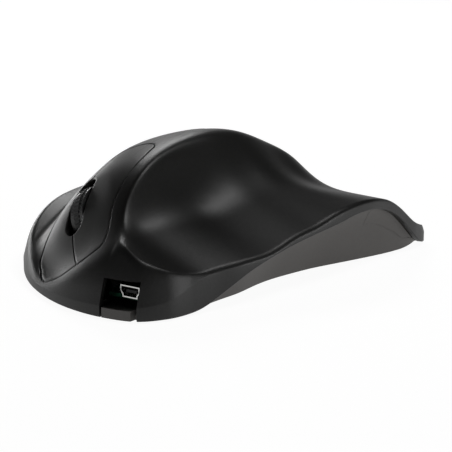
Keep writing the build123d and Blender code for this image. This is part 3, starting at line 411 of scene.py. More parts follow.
# %% Crest and flange
crest_x = follow(
    (-76, 18), (-66, 16.5), (-58, 12.5), (-54, 10.5), (-49, 10), (-37, 10), (-28, 10.5),
    (-19, 11.5), (-9, 12.5), (5, 13.5), (20, 14.8), (30, 16.8), (45, 12), (60, 4), (76, -2),
)
crest_z = follow(
    (-76, 17.5), (-66, 22.3), (-61, 25), (-58, 28), (-54, 32.5), (-49, 37.5), (-43, 41.8),
    (-37, 44.6), (-28, 47.2), (-19, 48.7), (-10, 49.3), (0, 48.6), (10, 46.6), (17, 44.2),
    (24, 41.2), (31, 37.4), (38, 31.6), (45, 24), (60, 12.5), (76, 6),
)
finger_slope = follow(
    (-76, 0.7), (-62, 0.62), (-50, 0.48), (-35, 0.44), (-20, 0.34), (0, 0.36), (30, 0.45),
    (60, 0.4), (78, 0.3),
)
finger_round = follow((-76, 3), (-62, 4), (-50, 6), (-35, 10), (-20, 14), (0, 16), (78, 18))
shoulder_at = follow((-76, 34), (-62, 32), (-50, 31), (-35, 30), (0, 30), (30, 26), (78, 20))
shoulder_fall = follow((-76, 0.9), (-50, 0.9), (-20, 0.95), (0, 0.8), (30, 0.5), (78, 0.2))
flange_z = follow(
    (-76, 4.4), (-66, 5.4), (-55, 9), (-45, 13), (-34, 17.5), (-20, 21.5), (-5, 23), (20, 20),
    (45, 13), (70, 6), (78, 4),
)
print("crest", round(float(crest_z(-10)), 1), "mm high")

# %% [markdown]
# The scoop and the lip.
# The thumb rests in a scoop that ends in the lip of the wing. Below the lip the wall stops
# well over the desk, and the last curve is that lower edge.

# %% Scoop and lip
LIFT = 0.6                # height of the shell's lower edge over the desk
lip_x = follow(
    (-76, 28), (-66, 30), (-63, 32), (-56, 35), (-49, 40), (-44, 43), (-36, 46), (-27, 47.5),
    (-19, 49), (-3, 51.5), (13, 53.5), (26, 53.5), (37, 52), (57, 50), (66, 48), (78, 46),
)
lip_z = follow(
    (-76, 19.5), (-66, 18.2), (-63, 17), (-56, 14.8), (-49, 13.5), (-44, 13.6), (-36, 14.5),
    (-27, 15.5), (-19, 17.5), (-14, 19), (-3, 21), (4, 23.6), (13, 25), (19, 25.2), (26, 24.6),
    (37, 22.3), (48, 16.6), (57, 10), (66, 7), (78, 4),
)
scoop_rise = follow(
    (-76, 0.5), (-60, 0.5), (-49, 0.55), (-40, 0.5), (-28, 0.42), (-14, 0.44), (-1, 0.4),
    (10, 0.26), (26, 0.06), (40, 0.02), (55, 0), (78, 0),
)
scoop_wall = follow(
    (-76, 6), (-58, 8), (-49, 12), (-40, 15), (-28, 18), (-14, 21), (0, 23), (20, 26),
    (40, 32), (76, 34),
)
crease_round = follow(
    (-76, 0.5), (-50, 0.6), (-40, 1), (-28, 1.6), (-14, 2.4), (0, 3.5), (20, 5), (76, 8),
)
wall_bend = follow((-76, 2.4), (-40, 2.6), (0, 2.6), (76, 2.2))

skirt_z = follow(
    (-76, LIFT), (-56, LIFT), (-51, 1.8), (-45, 5), (-40, 8), (-33, 11.5), (-23, 14.5),
    (-10, 17), (7, 19.8), (15, 21.3), (23, 21.4), (30, 20.4), (37, 18.4), (44, 15), (48, 12.2),
    (52, 8.8), (56, 5.4), (60, 2.6), (64, 1), (68, LIFT), (78, LIFT),
)
print("lip", round(float(lip_z(10)), 1), "mm high")

# %% [markdown]
# Blends and distances.
# Moulded surfaces flow into each other over a few millimetres. A smooth minimum of two heights
# does the same, where a plain one would leave a crease. The walls need one more measure: how far
# inside the outline a place lies.

# %% Blends and distances
def smooth_min(a, b, width):
    """The lower of two heights, blended where they cross."""
    h = np.clip(0.5 + 0.5 * (b - a) / width, 0, 1)
    return b + (a - b) * h - width * h * (1 - h)


def smooth_max(a, b, width):
    """The higher of two heights, blended where they cross."""
    return -smooth_min(-a, -b, width)


def rim(x, y):
    """Distance inside the outline, and the steepness of the walls around, the nearest most."""
    p = np.stack([np.ravel(x), np.ravel(y)], 1)
    a = RING[:, :2]
    ab = np.roll(a, -1, 0) - a
    apart = ((p[:, None] - a[None]) ** 2).sum(2)
    near = apart.argmin(1)
    weight = 1 / (apart + 0.5) ** 3
    steep = (weight * RING[:, 2]).sum(1) / weight.sum(1)
    best = np.full(len(p), 1e9)
    side = np.zeros(len(p))
    for k in (near - 1, near):
        k = k % len(a)
        t = np.clip(((p - a[k]) * ab[k]).sum(1) / (ab[k] ** 2).sum(1), 0, 1)
        off = p - (a[k] + ab[k] * t[:, None])
        gap = np.hypot(off[:, 0], off[:, 1])
        closer = gap < best
        turn = np.sign(ab[k][:, 0] * off[:, 1] - ab[k][:, 1] * off[:, 0])
        side = np.where(closer, turn, side)
        best = np.where(closer, gap, best)
    return (best * side).reshape(np.shape(x)), steep.reshape(np.shape(x))


print("the hump lies", round(float(rim(8, -10)[0]), 1), "mm inside the outline")

# %% [markdown]
# From curves to a height.
# The hump, the flange, the scoop and the steep walls are four simple surfaces, blended where
# they meet. The result is one height for every place in plan.

# %% Height of the surface
SHOULDER_EASE = 4         # length over which the shoulder turns down
FLANGE_AT = -44           # x where the flange is highest
FLANGE_BOW = 0.004
FLANGE_BLEND = 6
KNEE = 1.2                # closer to the outline than this a wall is straight
LIP_STEEPNESS = 20        # walls as steep as this are the band under the lip


def body_height(x, y):
    """The ridge under the fingers and the palm, and the flange for the little finger."""
    from_crest = crest_x(y) - x
    t = np.maximum(from_crest, 0)
    bend = finger_round(y)
    ridge = crest_z(y) - finger_slope(y) * (np.sqrt(t * t + bend * bend) - bend)
    turned = np.log1p(np.exp((t - shoulder_at(y)) / SHOULDER_EASE))
    ridge = ridge - shoulder_fall(y) * SHOULDER_EASE * turned
    flange = flange_z(y) - FLANGE_BOW * (x - FLANGE_AT) ** 2 * np.where(x > FLANGE_AT, 0.3, 1)
    past = np.maximum(-from_crest, 0)
    ridge = np.where(from_crest > 0, ridge, crest_z(y) - 0.6 * past**2 / (past + 8))
    return smooth_max(ridge, flange, FLANGE_BLEND)


def top_height(x, y):
    """Height of the finished top surface."""
    x, y = np.broadcast_arrays(np.asarray(x, float), np.asarray(y, float))
    body = body_height(x, y)
    floor = lip_z(y) + scoop_rise(y) * (lip_x(y) - x)
    past = x - crest_x(y)
    soft = crease_round(y)
    t = np.clip((past + np.sqrt(past * past + soft * soft)) / 2 / scoop_wall(y), 0, 1)
    scoop = floor + (body - floor) * (1 - t) ** wall_bend(y)
    z = np.where(past > -12, scoop, body)
    inside, steep = rim(x, y)
    wall = np.where(
        inside > KNEE,
        steep * np.sqrt(np.maximum(inside, KNEE)),
        steep * (np.sqrt(KNEE) + (inside - KNEE) / (2 * np.sqrt(KNEE))),
    )
    blend = 1.2 + 2.8 / (1 + np.exp(np.clip((past - 4) / 2, -40, 40)))
    blend = np.maximum(blend, np.interp(y, (-66, -48), (2.4, 1.2)))
    fade = np.clip((LIP_STEEPNESS - steep) / 10, 0, 1)
    fade = fade * fade * (3 - 2 * fade)
    return z - (z - smooth_min(z, wall, blend)) * fade


print("hump", round(float(top_height(8, -10)), 1), "mm over the desk")

# %% [markdown]
# The lip's own round.
# The lip is a moulded edge with a small even radius, turned down into the band under the wing.

# %% Round of the lip
LIP_ROUND = 1.3


def lip_drop(x, y):
    """The small round along the lip, where the surface turns down into the band."""
    inside, steep = rim(x, y)
    short = np.clip(LIP_ROUND - inside, 0, LIP_ROUND)
    fade = np.clip((LIP_STEEPNESS - steep) / 10, 0, 1)
    return (LIP_ROUND - np.sqrt(LIP_ROUND**2 - short**2)) * (1 - fade)


print("the edge of the lip drops", round(float(lip_drop(*OUTLINE[10][:2])), 2), "mm")

# %% [markdown]
# The deck under the fingers.
# The buttons are cut out of the surface along one tilted direction, square to the wheel.
# Places on this deck are given as across, back and out, and a point on it is found on the
# surface by stepping along the outward direction until the height agrees.

# %% Deck coordinates
DECK_ORIGIN = np.array([-8.9, -44.4, 20.3])
ACROSS = np.array([0.890252, -0.081064, 0.448197])
BACK = np.array([-0.173426, 0.849578, 0.498137])
OUT = np.array([-0.421159, -0.521197, 0.74228])


def deck_points(places, out):
    """Points in space for places on the deck."""
    places = np.asarray(places, float)
    out = np.broadcast_to(out, len(places))
    return DECK_ORIGIN + places[:, :1] * ACROSS + places[:, 1:2] * BACK + out[:, None] * OUT


def on_surface(places, start=8.0, rounds=9, probe=0.05, least_slope=0.25, longest=5):
    """Where lines square to the deck meet the surface."""
    out = np.full(len(places), start)
    for _ in range(rounds):
        here = deck_points(places, out)
        near = deck_points(places, out + probe)
        error = here[:, 2] - top_height(here[:, 0], here[:, 1])
        slope = (near[:, 2] - top_height(near[:, 0], near[:, 1]) - error) / probe
        out = out - np.clip(error / np.maximum(slope, least_slope), -longest, longest)
    return deck_points(places, out)


def deck_places(points):
    """Across and back of points in space."""
    off = np.asarray(points) - DECK_ORIGIN
    return np.column_stack([off @ ACROSS, off @ BACK])


def smooth_line(points, step=0.4):
    """Evenly spaced places along a smooth line through the points."""
    p = np.array(points, float)
    if len(p) == 2:
        count = max(int(np.linalg.norm(p[1] - p[0]) / step), 1)
        return p[0] + (p[1] - p[0]) * np.linspace(0, 1, count + 1)[:, None]
    at = np.concatenate([[0], np.cumsum(np.linalg.norm(np.diff(p, axis=0), axis=1))])
    tangent = np.gradient(p, at, axis=0, edge_order=2)
    s = np.linspace(0, at[-1], max(int(at[-1] / step), 2) + 1)
    i = np.clip(np.searchsorted(at, s) - 1, 0, len(at) - 2)
    span = (at[i + 1] - at[i])[:, None]
    start, leave, end, arrive = span_weights((s[:, None] - at[i][:, None]) / span)
    return start * p[i] + leave * span * tangent[i] + end * p[i + 1] + arrive * span * tangent[i + 1]

print("deck origin lies", DECK_ORIGIN[2], "mm over the desk")

# %% [markdown]
# Seams.
# On the real mouse a thin seam runs round the pair of buttons, another splits them, and the wheel
# comes through a slot between them. The outlines are smooth lines through a few places on the
# deck, and the seam width is taken off the buttons, not off the shell.

# %% Outlines on the deck
NOSE_EDGE = [(-14.6, -19.6), (-9.3, -25.7), (-1.5, -27.0), (7.7, -25.3), (17.8, -21.6)]
THUMB_EDGE = [(19.2, -19.8), (18.8, -13.0), (18.4, -6.0), (19.8, 1.0), (21.3, 9.0), (22.0, 16.0),
              (21.2, 23.6)]
BACK_EDGE = [(19.2, 26.0), (14.4, 27.8), (9.2, 27.9), (3.6, 26.8), (-1.6, 23.6), (-6.4, 17.8),
             (-9.8, 11.4), (-12.2, 4.6), (-14.8, -2.4), (-17.0, -8.6), (-17.2, -14.4), (-14.6, -19.6)]
FRONT_SPLIT = [(8.6, -30.0), (7.7, -25.3), (4.9, -21.6), (1.6, -15.6), (0.0, -10.0)]
BACK_SPLIT = [(0.0, 10.0), (0.6, 17.0), (2.0, 23.0), (3.6, 30.0)]
SEAM = 0.35
SLOT = (-10.8, 12.4, -0.35, 3.95)         # front end, rear end, middle and half width


def button_outline(gap):
    """The outline of the pair of buttons, moved inwards by a gap."""
    points = inset(NOSE_EDGE + THUMB_EDGE + BACK_EDGE[:-1], gap)
    nose, thumb, rest = np.split(points, [len(NOSE_EDGE), len(NOSE_EDGE + THUMB_EDGE)])
    rest = np.concatenate([rest, nose[:1]])
    runs = (nose, [nose[-1], thumb[0]], thumb, [thumb[-1], rest[0]], rest)
    return np.concatenate([smooth_line(run)[:-1] for run in runs])


def slot_outline():
    """The long hole for the wheel, with round ends."""
    front, rear, middle, half = SLOT
    turn = np.linspace(0, np.pi, 32)
    low = np.column_stack([middle - half * np.cos(turn), front + half - half * np.sin(turn)])
    high = np.column_stack([middle + half * np.cos(turn), rear - half + half * np.sin(turn)])
    right = smooth_line([low[-1], high[0]])[1:-1]
    left = smooth_line([high[-1], low[0]])[1:-1]
    return np.concatenate([low, right, high, left])


hole = button_outline(0)
plate = button_outline(SEAM)
slot = slot_outline()
splits = [smooth_line([(x + side * SEAM / 2, y) for x, y in path])
          for path in (FRONT_SPLIT, BACK_SPLIT) for side in (-1, 1)]
print("outline of the buttons:", len(hole), "places; slot:", len(slot))

# %% [markdown]
# One net of triangles.
# The outlines and rows of points beside them are laid out in plan, and a Delaunay net joins
# them all. Rows close to an edge let it be rounded, rows along the crest keep the crease crisp,
# and open areas get an even grid. The net is then lifted to the height of the surface.

# %% Points of the net
def beside(line, offsets, closed):
    """Rows of places at some distances on both sides of a line."""
    step = (np.roll(line, -1, 0) - np.roll(line, 1, 0)) if closed else np.gradient(line, axis=0)
    step = step / np.linalg.norm(step, axis=1, keepdims=True)
    square = np.column_stack([-step[:, 1], step[:, 0]])
    return np.concatenate([line + square * off for off in offsets])


EDGE_ROWS = (0.06, 0.16, 0.3, 0.5, 0.75, 1.1)
RIM_ROWS = (0.06, 0.14, 0.26, 0.4, 0.6, 0.85, 1.15, 1.5)
WIDE_RIM_ROWS = (2.4, 3.1, 4, 5)
CREST_ROWS = (-4, -3, -2.2, -1.5, -1, -0.6, -0.3, 0, 0.3, 0.6, 1, 1.5, 2.2, 3, 4)
CREST_SPAN = (-70, 44, 0.7)       # from, to and step, as in the two below
GRID_X = (-54, 56, 1.0)
GRID_Y = (-75, 76, 1.0)
SPLIT_ROWS = 4                    # the narrow split between the buttons needs fewer rows

both_ways = [side * off for off in EDGE_ROWS for side in (-1, 1)]
loop_rows = [beside(line, both_ways, True) for line in (hole, plate, slot)]
split_rows = [beside(line, both_ways[:2 * SPLIT_ROWS], False) for line in splits]
edge_rows = on_surface(np.concatenate(loop_rows + split_rows))[:, :2]
rim_rows = np.concatenate(
    [inset_ring(off) for off in RIM_ROWS] + [inset_ring(off)[::2] for off in WIDE_RIM_ROWS]
)
along = np.arange(*CREST_SPAN)
crest_rows = np.concatenate([np.column_stack([crest_x(along) + off, along]) for off in CREST_ROWS])
grid = np.stack(np.meshgrid(np.arange(*GRID_X), np.arange(*GRID_Y), indexing="ij"), -1)
grid = grid.reshape(-1, 2)
print(len(edge_rows), "points beside seams,", len(rim_rows), "at the rim,", len(crest_rows), "at the crest")

# %% [markdown]
# Finer where it bends.
# An even grid would show flat spots at sharp bends, and a fine one everywhere would be heavy. So
# the bend is measured at each grid point, and eight more are set around the sharpest.

# %% Finer points at the bends
SHARP_BEND = 0.12
THIRD = 0.33


def bend(points, reach=0.6):
    """How sharply the surface bends at places in plan."""
    x, y = points.T
    level = top_height(x, y)
    across = top_height(x + reach, y) + top_height(x - reach, y) - 2 * level
    along = top_height(x, y + reach) + top_height(x, y - reach) - 2 * level
    return np.hypot(across, along) / reach**2


sharp = grid[bend(grid) > SHARP_BEND]
shifts = [(dx, dy) for dx in (-THIRD, 0, THIRD) for dy in (-THIRD, 0, THIRD) if dx or dy]
grid = np.concatenate([grid, *[sharp + shift for shift in shifts]])
print(len(sharp), "grid points lie on sharp bends")

# %% [markdown]
# Room between the points.
# Two points almost on top of each other give slivers that shade badly. The lines that have to be
# kept come first, and of all the others only those stay that keep some room around them.

# %% Thin out the points
WALL = 1.8                # thickness of the moulded walls
RIM_ROOM = 0.12
CREST_ROOM = 0.22
GRID_ROOM = 0.26
EDGE_ROOM = 0.03


def search_tree(points):
    """A tree that finds the nearest of some places in plan."""
    tree = KDTree(len(points))
    for k, (x, y) in enumerate(points):
        tree.insert((x, y, 0), k)
    tree.balance()
    return tree


def clear_of(points, others, gap):
    """The points that keep a gap from all the others."""
    tree = search_tree(others)
    keep = [tree.find((x, y, 0))[2] > gap for x, y in points]
    return points[np.array(keep)]


ring_out = RING[:, :2]
ring_in = inset_ring(WALL)
lines = [on_surface(line)[:, :2] for line in (hole, plate, slot, *splits)]
fixed = np.concatenate([ring_out, ring_in, *lines])
rim_rows = clear_of(rim_rows, np.concatenate([fixed[len(ring_out):], edge_rows]), RIM_ROOM)
crest_rows = clear_of(crest_rows, np.concatenate([fixed, edge_rows, rim_rows]), CREST_ROOM)
grid = clear_of(grid, np.concatenate([fixed, edge_rows, rim_rows, crest_rows]), GRID_ROOM)
free = np.concatenate([edge_rows, rim_rows, crest_rows, grid])
free = free[rim(*free.T)[0] > EDGE_ROOM]
print(len(fixed), "fixed and", len(free), "free points")

# %% [markdown]
# The net.
# Blender can fill points and lines with triangles by hand, face by face, or with its Delaunay
# routine, which also keeps the given lines as edges. The lines are numbered in the order of the
# points, so that each becomes a chain of edges.

# %% The net
CLOSED_LINES = 5          # both rings, the hole, the buttons and the slot; the splits are open
SAME_POINT = 1e-5
SLIVER = 1e-7
edges = []
start = 0
for k, line in enumerate([ring_out, ring_in, *lines]):
    closed = k < CLOSED_LINES
    count = len(line)
    edges += [(start + k, start + (k + 1) % count) for k in range(count if closed else count - 1)]
    start += count
flat = [Vector((float(x), float(y))) for x, y in np.concatenate([fixed, free])]
verts, _, faces, *_ = delaunay_2d_cdt(flat, edges, [], 0, SAME_POINT)
plan = np.array([(v.x, v.y) for v in verts])
tris = np.array([f for f in faces if len(f) == 3])
a, b, c = plan[tris.T]
area = (b[:, 0] - a[:, 0]) * (c[:, 1] - a[:, 1]) - (b[:, 1] - a[:, 1]) * (c[:, 0] - a[:, 0])
tris = np.where((area < 0)[:, None], tris[:, ::-1], tris)[np.abs(area) > SLIVER]
height = top_height(*plan.T)
places = deck_places(np.column_stack([plan, height]))
print(len(plan), "points and", len(tris), "triangles")

# %% [markdown]
# Sorting the triangles.
# The seams are edges of the net, so every triangle lies wholly on one side of them. The middle
# of a triangle then tells whether it belongs to the shell, to a button or to none of them.

# %% Triangles of each moulding
def within(points, loop):
    """Which points lie inside a closed line."""
    a, b = loop, np.roll(loop, -1, 0)
    inside = np.zeros(len(points), bool)
    for (ax, ay), (bx, by) in zip(a, b):
        if ay == by:
            continue
        cross = (ay > points[:, 1]) != (by > points[:, 1])
        inside ^= cross & (points[:, 0] < (bx - ax) * (points[:, 1] - ay) / (by - ay) + ax)
    return inside


def split_across(back):
    """Where the line between the two buttons runs."""
    front_line = (splits[0] + splits[1]) / 2
    back_line = (splits[2] + splits[3]) / 2
    line = np.concatenate([front_line[np.argsort(front_line[:, 1])], back_line])
    return np.interp(back, line[:, 1], line[:, 0])


middle = places[tris].mean(1)
middle_plan = plan[tris].mean(1)
in_case = within(middle_plan, ring_out)
in_hole = within(middle, hole)
in_plate = within(middle, plate)
in_slot = within(middle, slot)
off_split = middle[:, 0] - split_across(middle[:, 1])
is_shell = in_case & ~in_hole
is_left = in_plate & ~in_slot & (off_split > SEAM / 2)
is_right = in_plate & ~in_slot & (off_split < -SEAM / 2)
is_inner = within(middle_plan, ring_in)
print("triangles: shell", is_shell.sum(), "left", is_left.sum(), "right", is_right.sum())

# %% [markdown]
# Rounded edges.
# A mould leaves no knife edge. Each point near an edge is lowered along a quarter circle, so the
# seams catch a thin line of light, and the nose of the buttons gets the wider round it has.

# %% Round the edges
HOLE_ROUND = 0.35
SLOT_ROUND = 0.5
SPLIT_ROUND = 0.3
PLATE_ROUND = 0.4
WIDER_AT_NOSE = 0.6
NOSE_FROM = -14           # where on the deck the round starts to widen, and over what length
NOSE_LENGTH = 6


def distance_to(points, line, closed):
    """Distance of places to a line."""
    a = line if closed else line[:-1]
    b = np.roll(line, -1, 0) if closed else line[1:]
    best = np.full(len(points), 1e9)
    for p, q in zip(a, b):
        along = q - p
        t = np.clip(((points - p) @ along) / max(along @ along, 1e-12), 0, 1)
        best = np.minimum(best, np.linalg.norm(points - p - t[:, None] * along, axis=1))
    return best


def quarter_round(distance, radius):
    """How far a rounded edge lies under the surface, at a distance from the edge."""
    short = np.clip(radius - distance, 0, radius)
    return radius - np.sqrt(np.maximum(radius**2 - short**2, 0))


to_hole, to_plate, to_slot = [distance_to(places, line, True) for line in (hole, plate, slot)]
to_split = np.min([distance_to(places, line, False) for line in splits], axis=0)
nose = np.clip((NOSE_FROM - places[:, 1]) / NOSE_LENGTH, 0, 1)
plate_round = PLATE_ROUND + WIDER_AT_NOSE * nose * nose * (3 - 2 * nose)
shell_top = height - lip_drop(*plan.T) - quarter_round(to_hole, HOLE_ROUND)
plate_drop = np.maximum(quarter_round(to_plate, plate_round), quarter_round(to_slot, SLOT_ROUND))
plate_top = height - np.maximum(plate_drop, quarter_round(to_split, SPLIT_ROUND))
print("rounds of the buttons", round(plate_round.min(), 2), "to", round(plate_round.max(), 2), "mm")

# %% [markdown]
# The inner side.
# The same net, set a wall's thickness deeper, is the inner side of each moulding. Plumb seam walls
# would let a pressed button run into its neighbour, because it moves square to the tilted deck. So
# near the buttons the deeper net is shifted along the deck's own direction.

# %% The net under the surface
LEAN_AWAY = 7             # distance from the buttons over which the lean dies away
MOST_LEAN = 4
STEEPEST = 3.2            # most that a plumb cut counts longer than a square one
LEAST_FACING = 0.3


def tilt(x, y, h=0.25):
    """The two slopes of the surface, and how much longer a plumb cut is than a square one."""
    slope_x = (top_height(x + h, y) - top_height(x - h, y)) / (2 * h)
    slope_y = (top_height(x, y + h) - top_height(x, y - h)) / (2 * h)
    return slope_x, slope_y, np.minimum(np.sqrt(1 + slope_x**2 + slope_y**2), STEEPEST)


lean = np.where(within(places, hole), 1, np.clip(1 - to_hole / LEAN_AWAY, 0, 1))
lean = lean * lean * (3 - 2 * lean)
slope_x, slope_y, longer = tilt(*plan.T)
facing = np.maximum(OUT[2] - OUT[0] * slope_x - OUT[1] * slope_y, LEAST_FACING)
lean_by = lean * np.clip(WALL * longer / facing, 0, MOST_LEAN)
under_plan = plan - lean_by[:, None] * OUT[:2]
under = top_height(*under_plan.T) - WALL * tilt(*under_plan.T)[2]
print("largest lean", round(lean_by.max(), 2), "mm")

# %% [markdown]
# Closed mouldings.
# A moulding has to be a closed skin to export and to cut well. Its outer and inner nets are
# joined by walls along their open edges, and the shell also gets a hem round its lower edge.

# %% Nets and walls
def open_edges(triangles):
    """The edges that only one triangle has, in its direction."""
    edges = np.concatenate([triangles[:, [0, 1]], triangles[:, [1, 2]], triangles[:, [2, 0]]])
    have = {tuple(e) for e in edges.tolist()}
    return [e for e in have if (e[1], e[0]) not in have]


def make_piece(name, points, triangles):
    """A mesh piece from points in millimetres."""
    mesh = bpy.data.meshes.new(name)
    used = np.unique(triangles)
    number = np.full(len(points), -1)
    number[used] = np.arange(len(used))
    mesh.from_pydata((points[used] / 1000).tolist(), [], number[triangles].tolist())
    mesh.update()
    piece = bpy.data.objects.new(name, mesh)
    scene.collection.objects.link(piece)
    return piece


def walls(edges, below):
    """Triangles that join open edges to the points below them."""
    out = []
    for i, j in edges:
        out += [(j, i, below[i]), (j, below[i], below[j])]
    return out


print("triangles over one edge:", len(walls([(0, 1)], {0: 2, 1: 3})))

# %% [markdown]
# The hem of the shell.
# The lower edge of the top shell lies just over the desk and rises under the wing. Three rings of
# points shape it: a small corner, and the two sides of the flat edge.

# %% Hem
HEM_SINK = 0.3            # how far the hem turns in, and how high its corner is
LEAST_BAND = 0.4          # least height of the band under the lip
CORNER_ROOM = 0.1         # least gap between the hem's corner and the lip
THUMB_SIDE = 20           # the hem rises only on this side
tree = search_tree(plan)
outer_loop = [tree.find((x, y, 0))[1] for x, y in ring_out]
inner_loop = [tree.find((x, y, 0))[1] for x, y in ring_in]
top_out = shell_top[outer_loop]
hem = np.where(ring_out[:, 0] > THUMB_SIDE, skirt_z(ring_out[:, 1]), LIFT)
hem = np.minimum(hem, top_out - LEAST_BAND)
corner = np.column_stack([ring_out, np.minimum(hem + HEM_SINK, top_out - CORNER_ROOM)])
low_out = np.column_stack([inset_ring(HEM_SINK), hem])
low_in = np.column_stack([ring_in, hem])
print("hem", round(hem.min(), 1), "to", round(hem.max(), 1), "mm over the desk")

# %% [markdown]
# The shell.
# Strips of triangles lead from the outer net over the rings of the hem up to the inner net, and
# a wall round the hole for the buttons joins both nets there.

# %% Build the shell
top = tris[is_shell]
count, n = len(plan), len(ring_out)
outside = np.column_stack([plan, shell_top])
inside = np.column_stack([under_plan, under])
points = np.concatenate([outside, inside, corner, low_out, low_in])
on_rim = set(outer_loop)
hole_edges = [e for e in open_edges(top) if not (e[0] in on_rim and e[1] in on_rim)]
rows = [top, tris[is_shell & is_inner][:, ::-1] + count]
rows.append(np.array(walls(hole_edges, {i: i + count for e in hole_edges for i in e})))
rings = [range(first, first + n) for first in range(2 * count, 2 * count + 3 * n, n)]
loops = [outer_loop, *rings, [k + count for k in inner_loop]]
for one, two in zip(loops, loops[1:]):
    for k in range(n):
        m = (k + 1) % n
        rows.append(np.array([(one[m], one[k], two[k]), (one[m], two[k], two[m])]))
shell_skin = make_piece("shell_moulding", points, np.concatenate(rows))
print("shell of", len(shell_skin.data.polygons), "faces")

# %% [markdown]
# The buttons.
# A button is a bent plate of even thickness, so two nets and one wall round them are all of it.
# All three mouldings are then tested for gaps: in a closed skin every edge has two faces.

# %% Build the buttons
def plate_piece(name, mask):
    """A button plate: the top, the same net under it, and the wall between them."""
    top = tris[mask]
    points = np.concatenate([np.column_stack([plan, plate_top]), inside])
    below = {i: i + count for i in np.unique(top).tolist()}
    rows = [top, top[:, ::-1] + count, np.array(walls(open_edges(top), below))]
    return make_piece(name, points, np.concatenate(rows))


left_skin = plate_piece("left_button_moulding", is_left)
right_skin = plate_piece("right_button_moulding", is_right)
for piece in (shell_skin, left_skin, right_skin):
    check = bmesh.new()
    check.from_mesh(piece.data)
    open_count = sum(not edge.is_manifold for edge in check.edges)
    volume = round(check.calc_volume() * 1e9)
    print(piece.name, len(piece.data.polygons), "faces,", open_count, "open edges,", volume, "cubic mm")
    check.free()

# %% [markdown]
# The socket mouth.
# On the real shell the mouth is a plain square-cut notch in the front wall. A box is taken out
# of the closed shell with a Boolean, which leaves crisp corners, as the moulded notch has.

# %% Cut the mouth
def only(piece):
    """Makes one piece the selected and active one."""
    bpy.ops.object.select_all(action="DESELECT")
    bpy.context.view_layer.objects.active = piece
    piece.select_set(True)


MOUTH_CENTRE = (0.0237, -0.0735, 0.00545)
MOUTH_SIZE = (0.0128, 0.013, 0.0149)
bpy.ops.mesh.primitive_cube_add(size=1, location=MOUTH_CENTRE)
cutter = bpy.context.object
cutter.scale = MOUTH_SIZE
bpy.ops.object.transform_apply(location=False, rotation=False, scale=True)
only(shell_skin)
cut = shell_skin.modifiers.new("mouth", "BOOLEAN")
cut.object = cutter
cut.solver = "EXACT"
cut.operation = "DIFFERENCE"
bpy.ops.object.modifier_apply(modifier="mouth")
bpy.data.objects.remove(cutter)
print("shell after the cut:", len(shell_skin.data.polygons), "faces")

# %% [markdown]
# Posts and arms.
# Inside, the shell carries screw posts and hinge lugs, and each button a rib over its switch and
# an arm back to the hinge pin. They are plain moulded blocks, so a cube or a cylinder is added
# at its size, set square to the deck, and joined to its moulding.

# %% Blocks on the deck
AXES = np.array([ACROSS, BACK, OUT])
ROD_SIDES = 40


def deck_block(across, back, out):
    """A cube primitive stretched between two deck coordinates each way."""
    bpy.ops.mesh.primitive_cube_add(size=1)
    block = bpy.context.object
    spans = np.array([across, back, out], float)
    centre, size = spans.mean(1), spans[:, 1] - spans[:, 0]
    for vertex in block.data.vertices:
        local = centre + np.array(vertex.co) * size
        vertex.co = (DECK_ORIGIN + local @ AXES) / 1000
    return block


def deck_rod(across, back, out, radius):
    """A cylinder primitive that lies across the deck."""
    bpy.ops.mesh.primitive_cylinder_add(vertices=ROD_SIDES, radius=1, depth=1)
    rod = bpy.context.object
    for vertex in rod.data.vertices:
        x, y, z = vertex.co
        along = np.mean(across) + z * (across[1] - across[0])
        local = np.array([along, back + x * radius, out + y * radius])
        vertex.co = (DECK_ORIGIN + local @ AXES) / 1000
    bpy.ops.object.mode_set(mode="EDIT")
    bpy.ops.mesh.select_all(action="SELECT")
    bpy.ops.mesh.normals_make_consistent(inside=False)
    bpy.ops.object.mode_set(mode="OBJECT")
    return rod


def join_to(piece, blocks):
    """Joins blocks to a moulding."""
    bpy.ops.object.select_all(action="DESELECT")
    for block in blocks:
        block.select_set(True)
    piece.select_set(True)
    bpy.context.view_layer.objects.active = piece
    bpy.ops.object.join()


print("rods get", ROD_SIDES, "sides")

# %% [markdown]
# How far the blocks may reach.
# A post that is too long would come out through the skin, and one too short would hang free. The
# surface is measured over the whole end of each block, and the block stops half a wall below it.

# %% Room under the skin
POST_R = 2.8
HALF_WALL = 0.9
around = np.linspace(0, 2 * np.pi, 24, endpoint=False)


def roof(x, y):
    """How high a post can go and end inside the wall."""
    over = top_height(x + POST_R * np.cos(around), y + POST_R * np.sin(around))
    return float(over.min()) - HALF_WALL


def under_skin(across, back):
    """How far out a block on the deck can go and end inside the wall."""
    corners = [(a, b) for a in np.linspace(*across, 4) for b in np.linspace(*back, 4)]
    return float(((on_surface(corners) - DECK_ORIGIN) @ OUT).min()) - HALF_WALL


print("room over the first post", round(roof(10.5, -69.3), 1), "mm")

# %% [markdown]
# Screw posts and hinge lugs of the shell.
# Four posts take the case screws from below, and three lugs hold the hinge pin of the buttons.

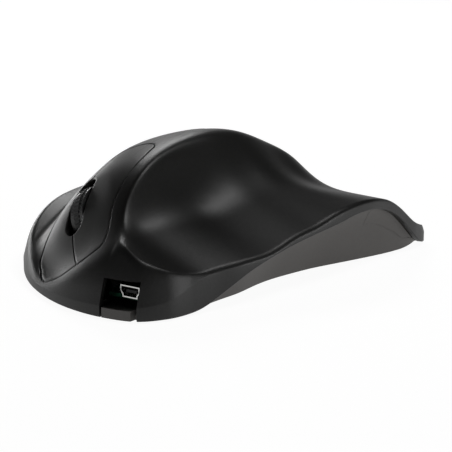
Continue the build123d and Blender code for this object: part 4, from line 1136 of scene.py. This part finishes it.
# %% Posts and lugs
SCREW_PLACES = ((10.5, -69.3), (-41, -22), (-24, 51), (34, 48))
POST_BOTTOM = 4.5
LUG_DEEP = (28.4, 31.8)
LUG_PLACES = ((-9, -6.6), (0.8, 4.4), (12.2, 14.6))
LUG_BOTTOM = -1.3
posts = []
for x, y in SCREW_PLACES:
    top = roof(x, y)
    bpy.ops.mesh.primitive_cylinder_add(
        vertices=ROD_SIDES,
        radius=POST_R / 1000,
        depth=(top - POST_BOTTOM) / 1000,
        location=(x / 1000, y / 1000, (top + POST_BOTTOM) / 2000),
    )
    bpy.ops.object.transform_apply(location=True, rotation=False, scale=False)
    posts.append(bpy.context.object)
lugs = [deck_block(across, LUG_DEEP, (LUG_BOTTOM, under_skin(across, LUG_DEEP))) for across in LUG_PLACES]
join_to(shell_skin, posts + lugs)
print(len(posts), "posts and", len(lugs), "lugs")

# %% [markdown]
# Arms of the buttons.
# Each button has a rib that meets the plunger of its switch, an arm back from it, and a knuckle
# round the hinge pin at the end of the arm. Both buttons are made by the same loop.

# %% Ribs, arms and knuckles
PIN_BACK = 30
PIN_OUT = 0.5
KNUCKLE_R = 1.5
ARM_HEIGHT = (-1, 2)
for skin, across, rib in ((right_skin, (-5.6, 0), (18.5, 22.8)), (left_skin, (5.2, 11.4), (20.5, 25.5))):
    join_to(skin, [
        deck_block(across, rib, (ARM_HEIGHT[0], under_skin(across, rib))),
        deck_block(across, (rib[0], PIN_BACK), ARM_HEIGHT),
        deck_rod(across, PIN_BACK, PIN_OUT, KNUCKLE_R),
    ])
    print(skin.name, len(skin.data.polygons), "faces with its arm")

# %% [markdown]
# Last steps for the mouldings.
# Shading is smooth within an angle, so that rounds look round and cut corners stay crisp. Each
# moulding rides on its body, gets the shell plastic and takes the place of its CAD piece, which is hidden.

# %% Shading, finish and place
SMOOTH_ANGLE = radians(38)
BODY_OF = {"top_shell": "case", "left_button": "left_button", "right_button": "right_button"}
for name, piece in zip(BODY_OF, (shell_skin, left_skin, right_skin)):
    only(piece)
    bpy.ops.object.shade_smooth_by_angle(angle=SMOOTH_ANGLE)
    piece.data.materials.clear()
    piece.data.materials.append(shell_plastic)
    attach(piece, BODY_OF[name])
    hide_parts(name)
    print(piece.name, len(piece.data.polygons), "faces")
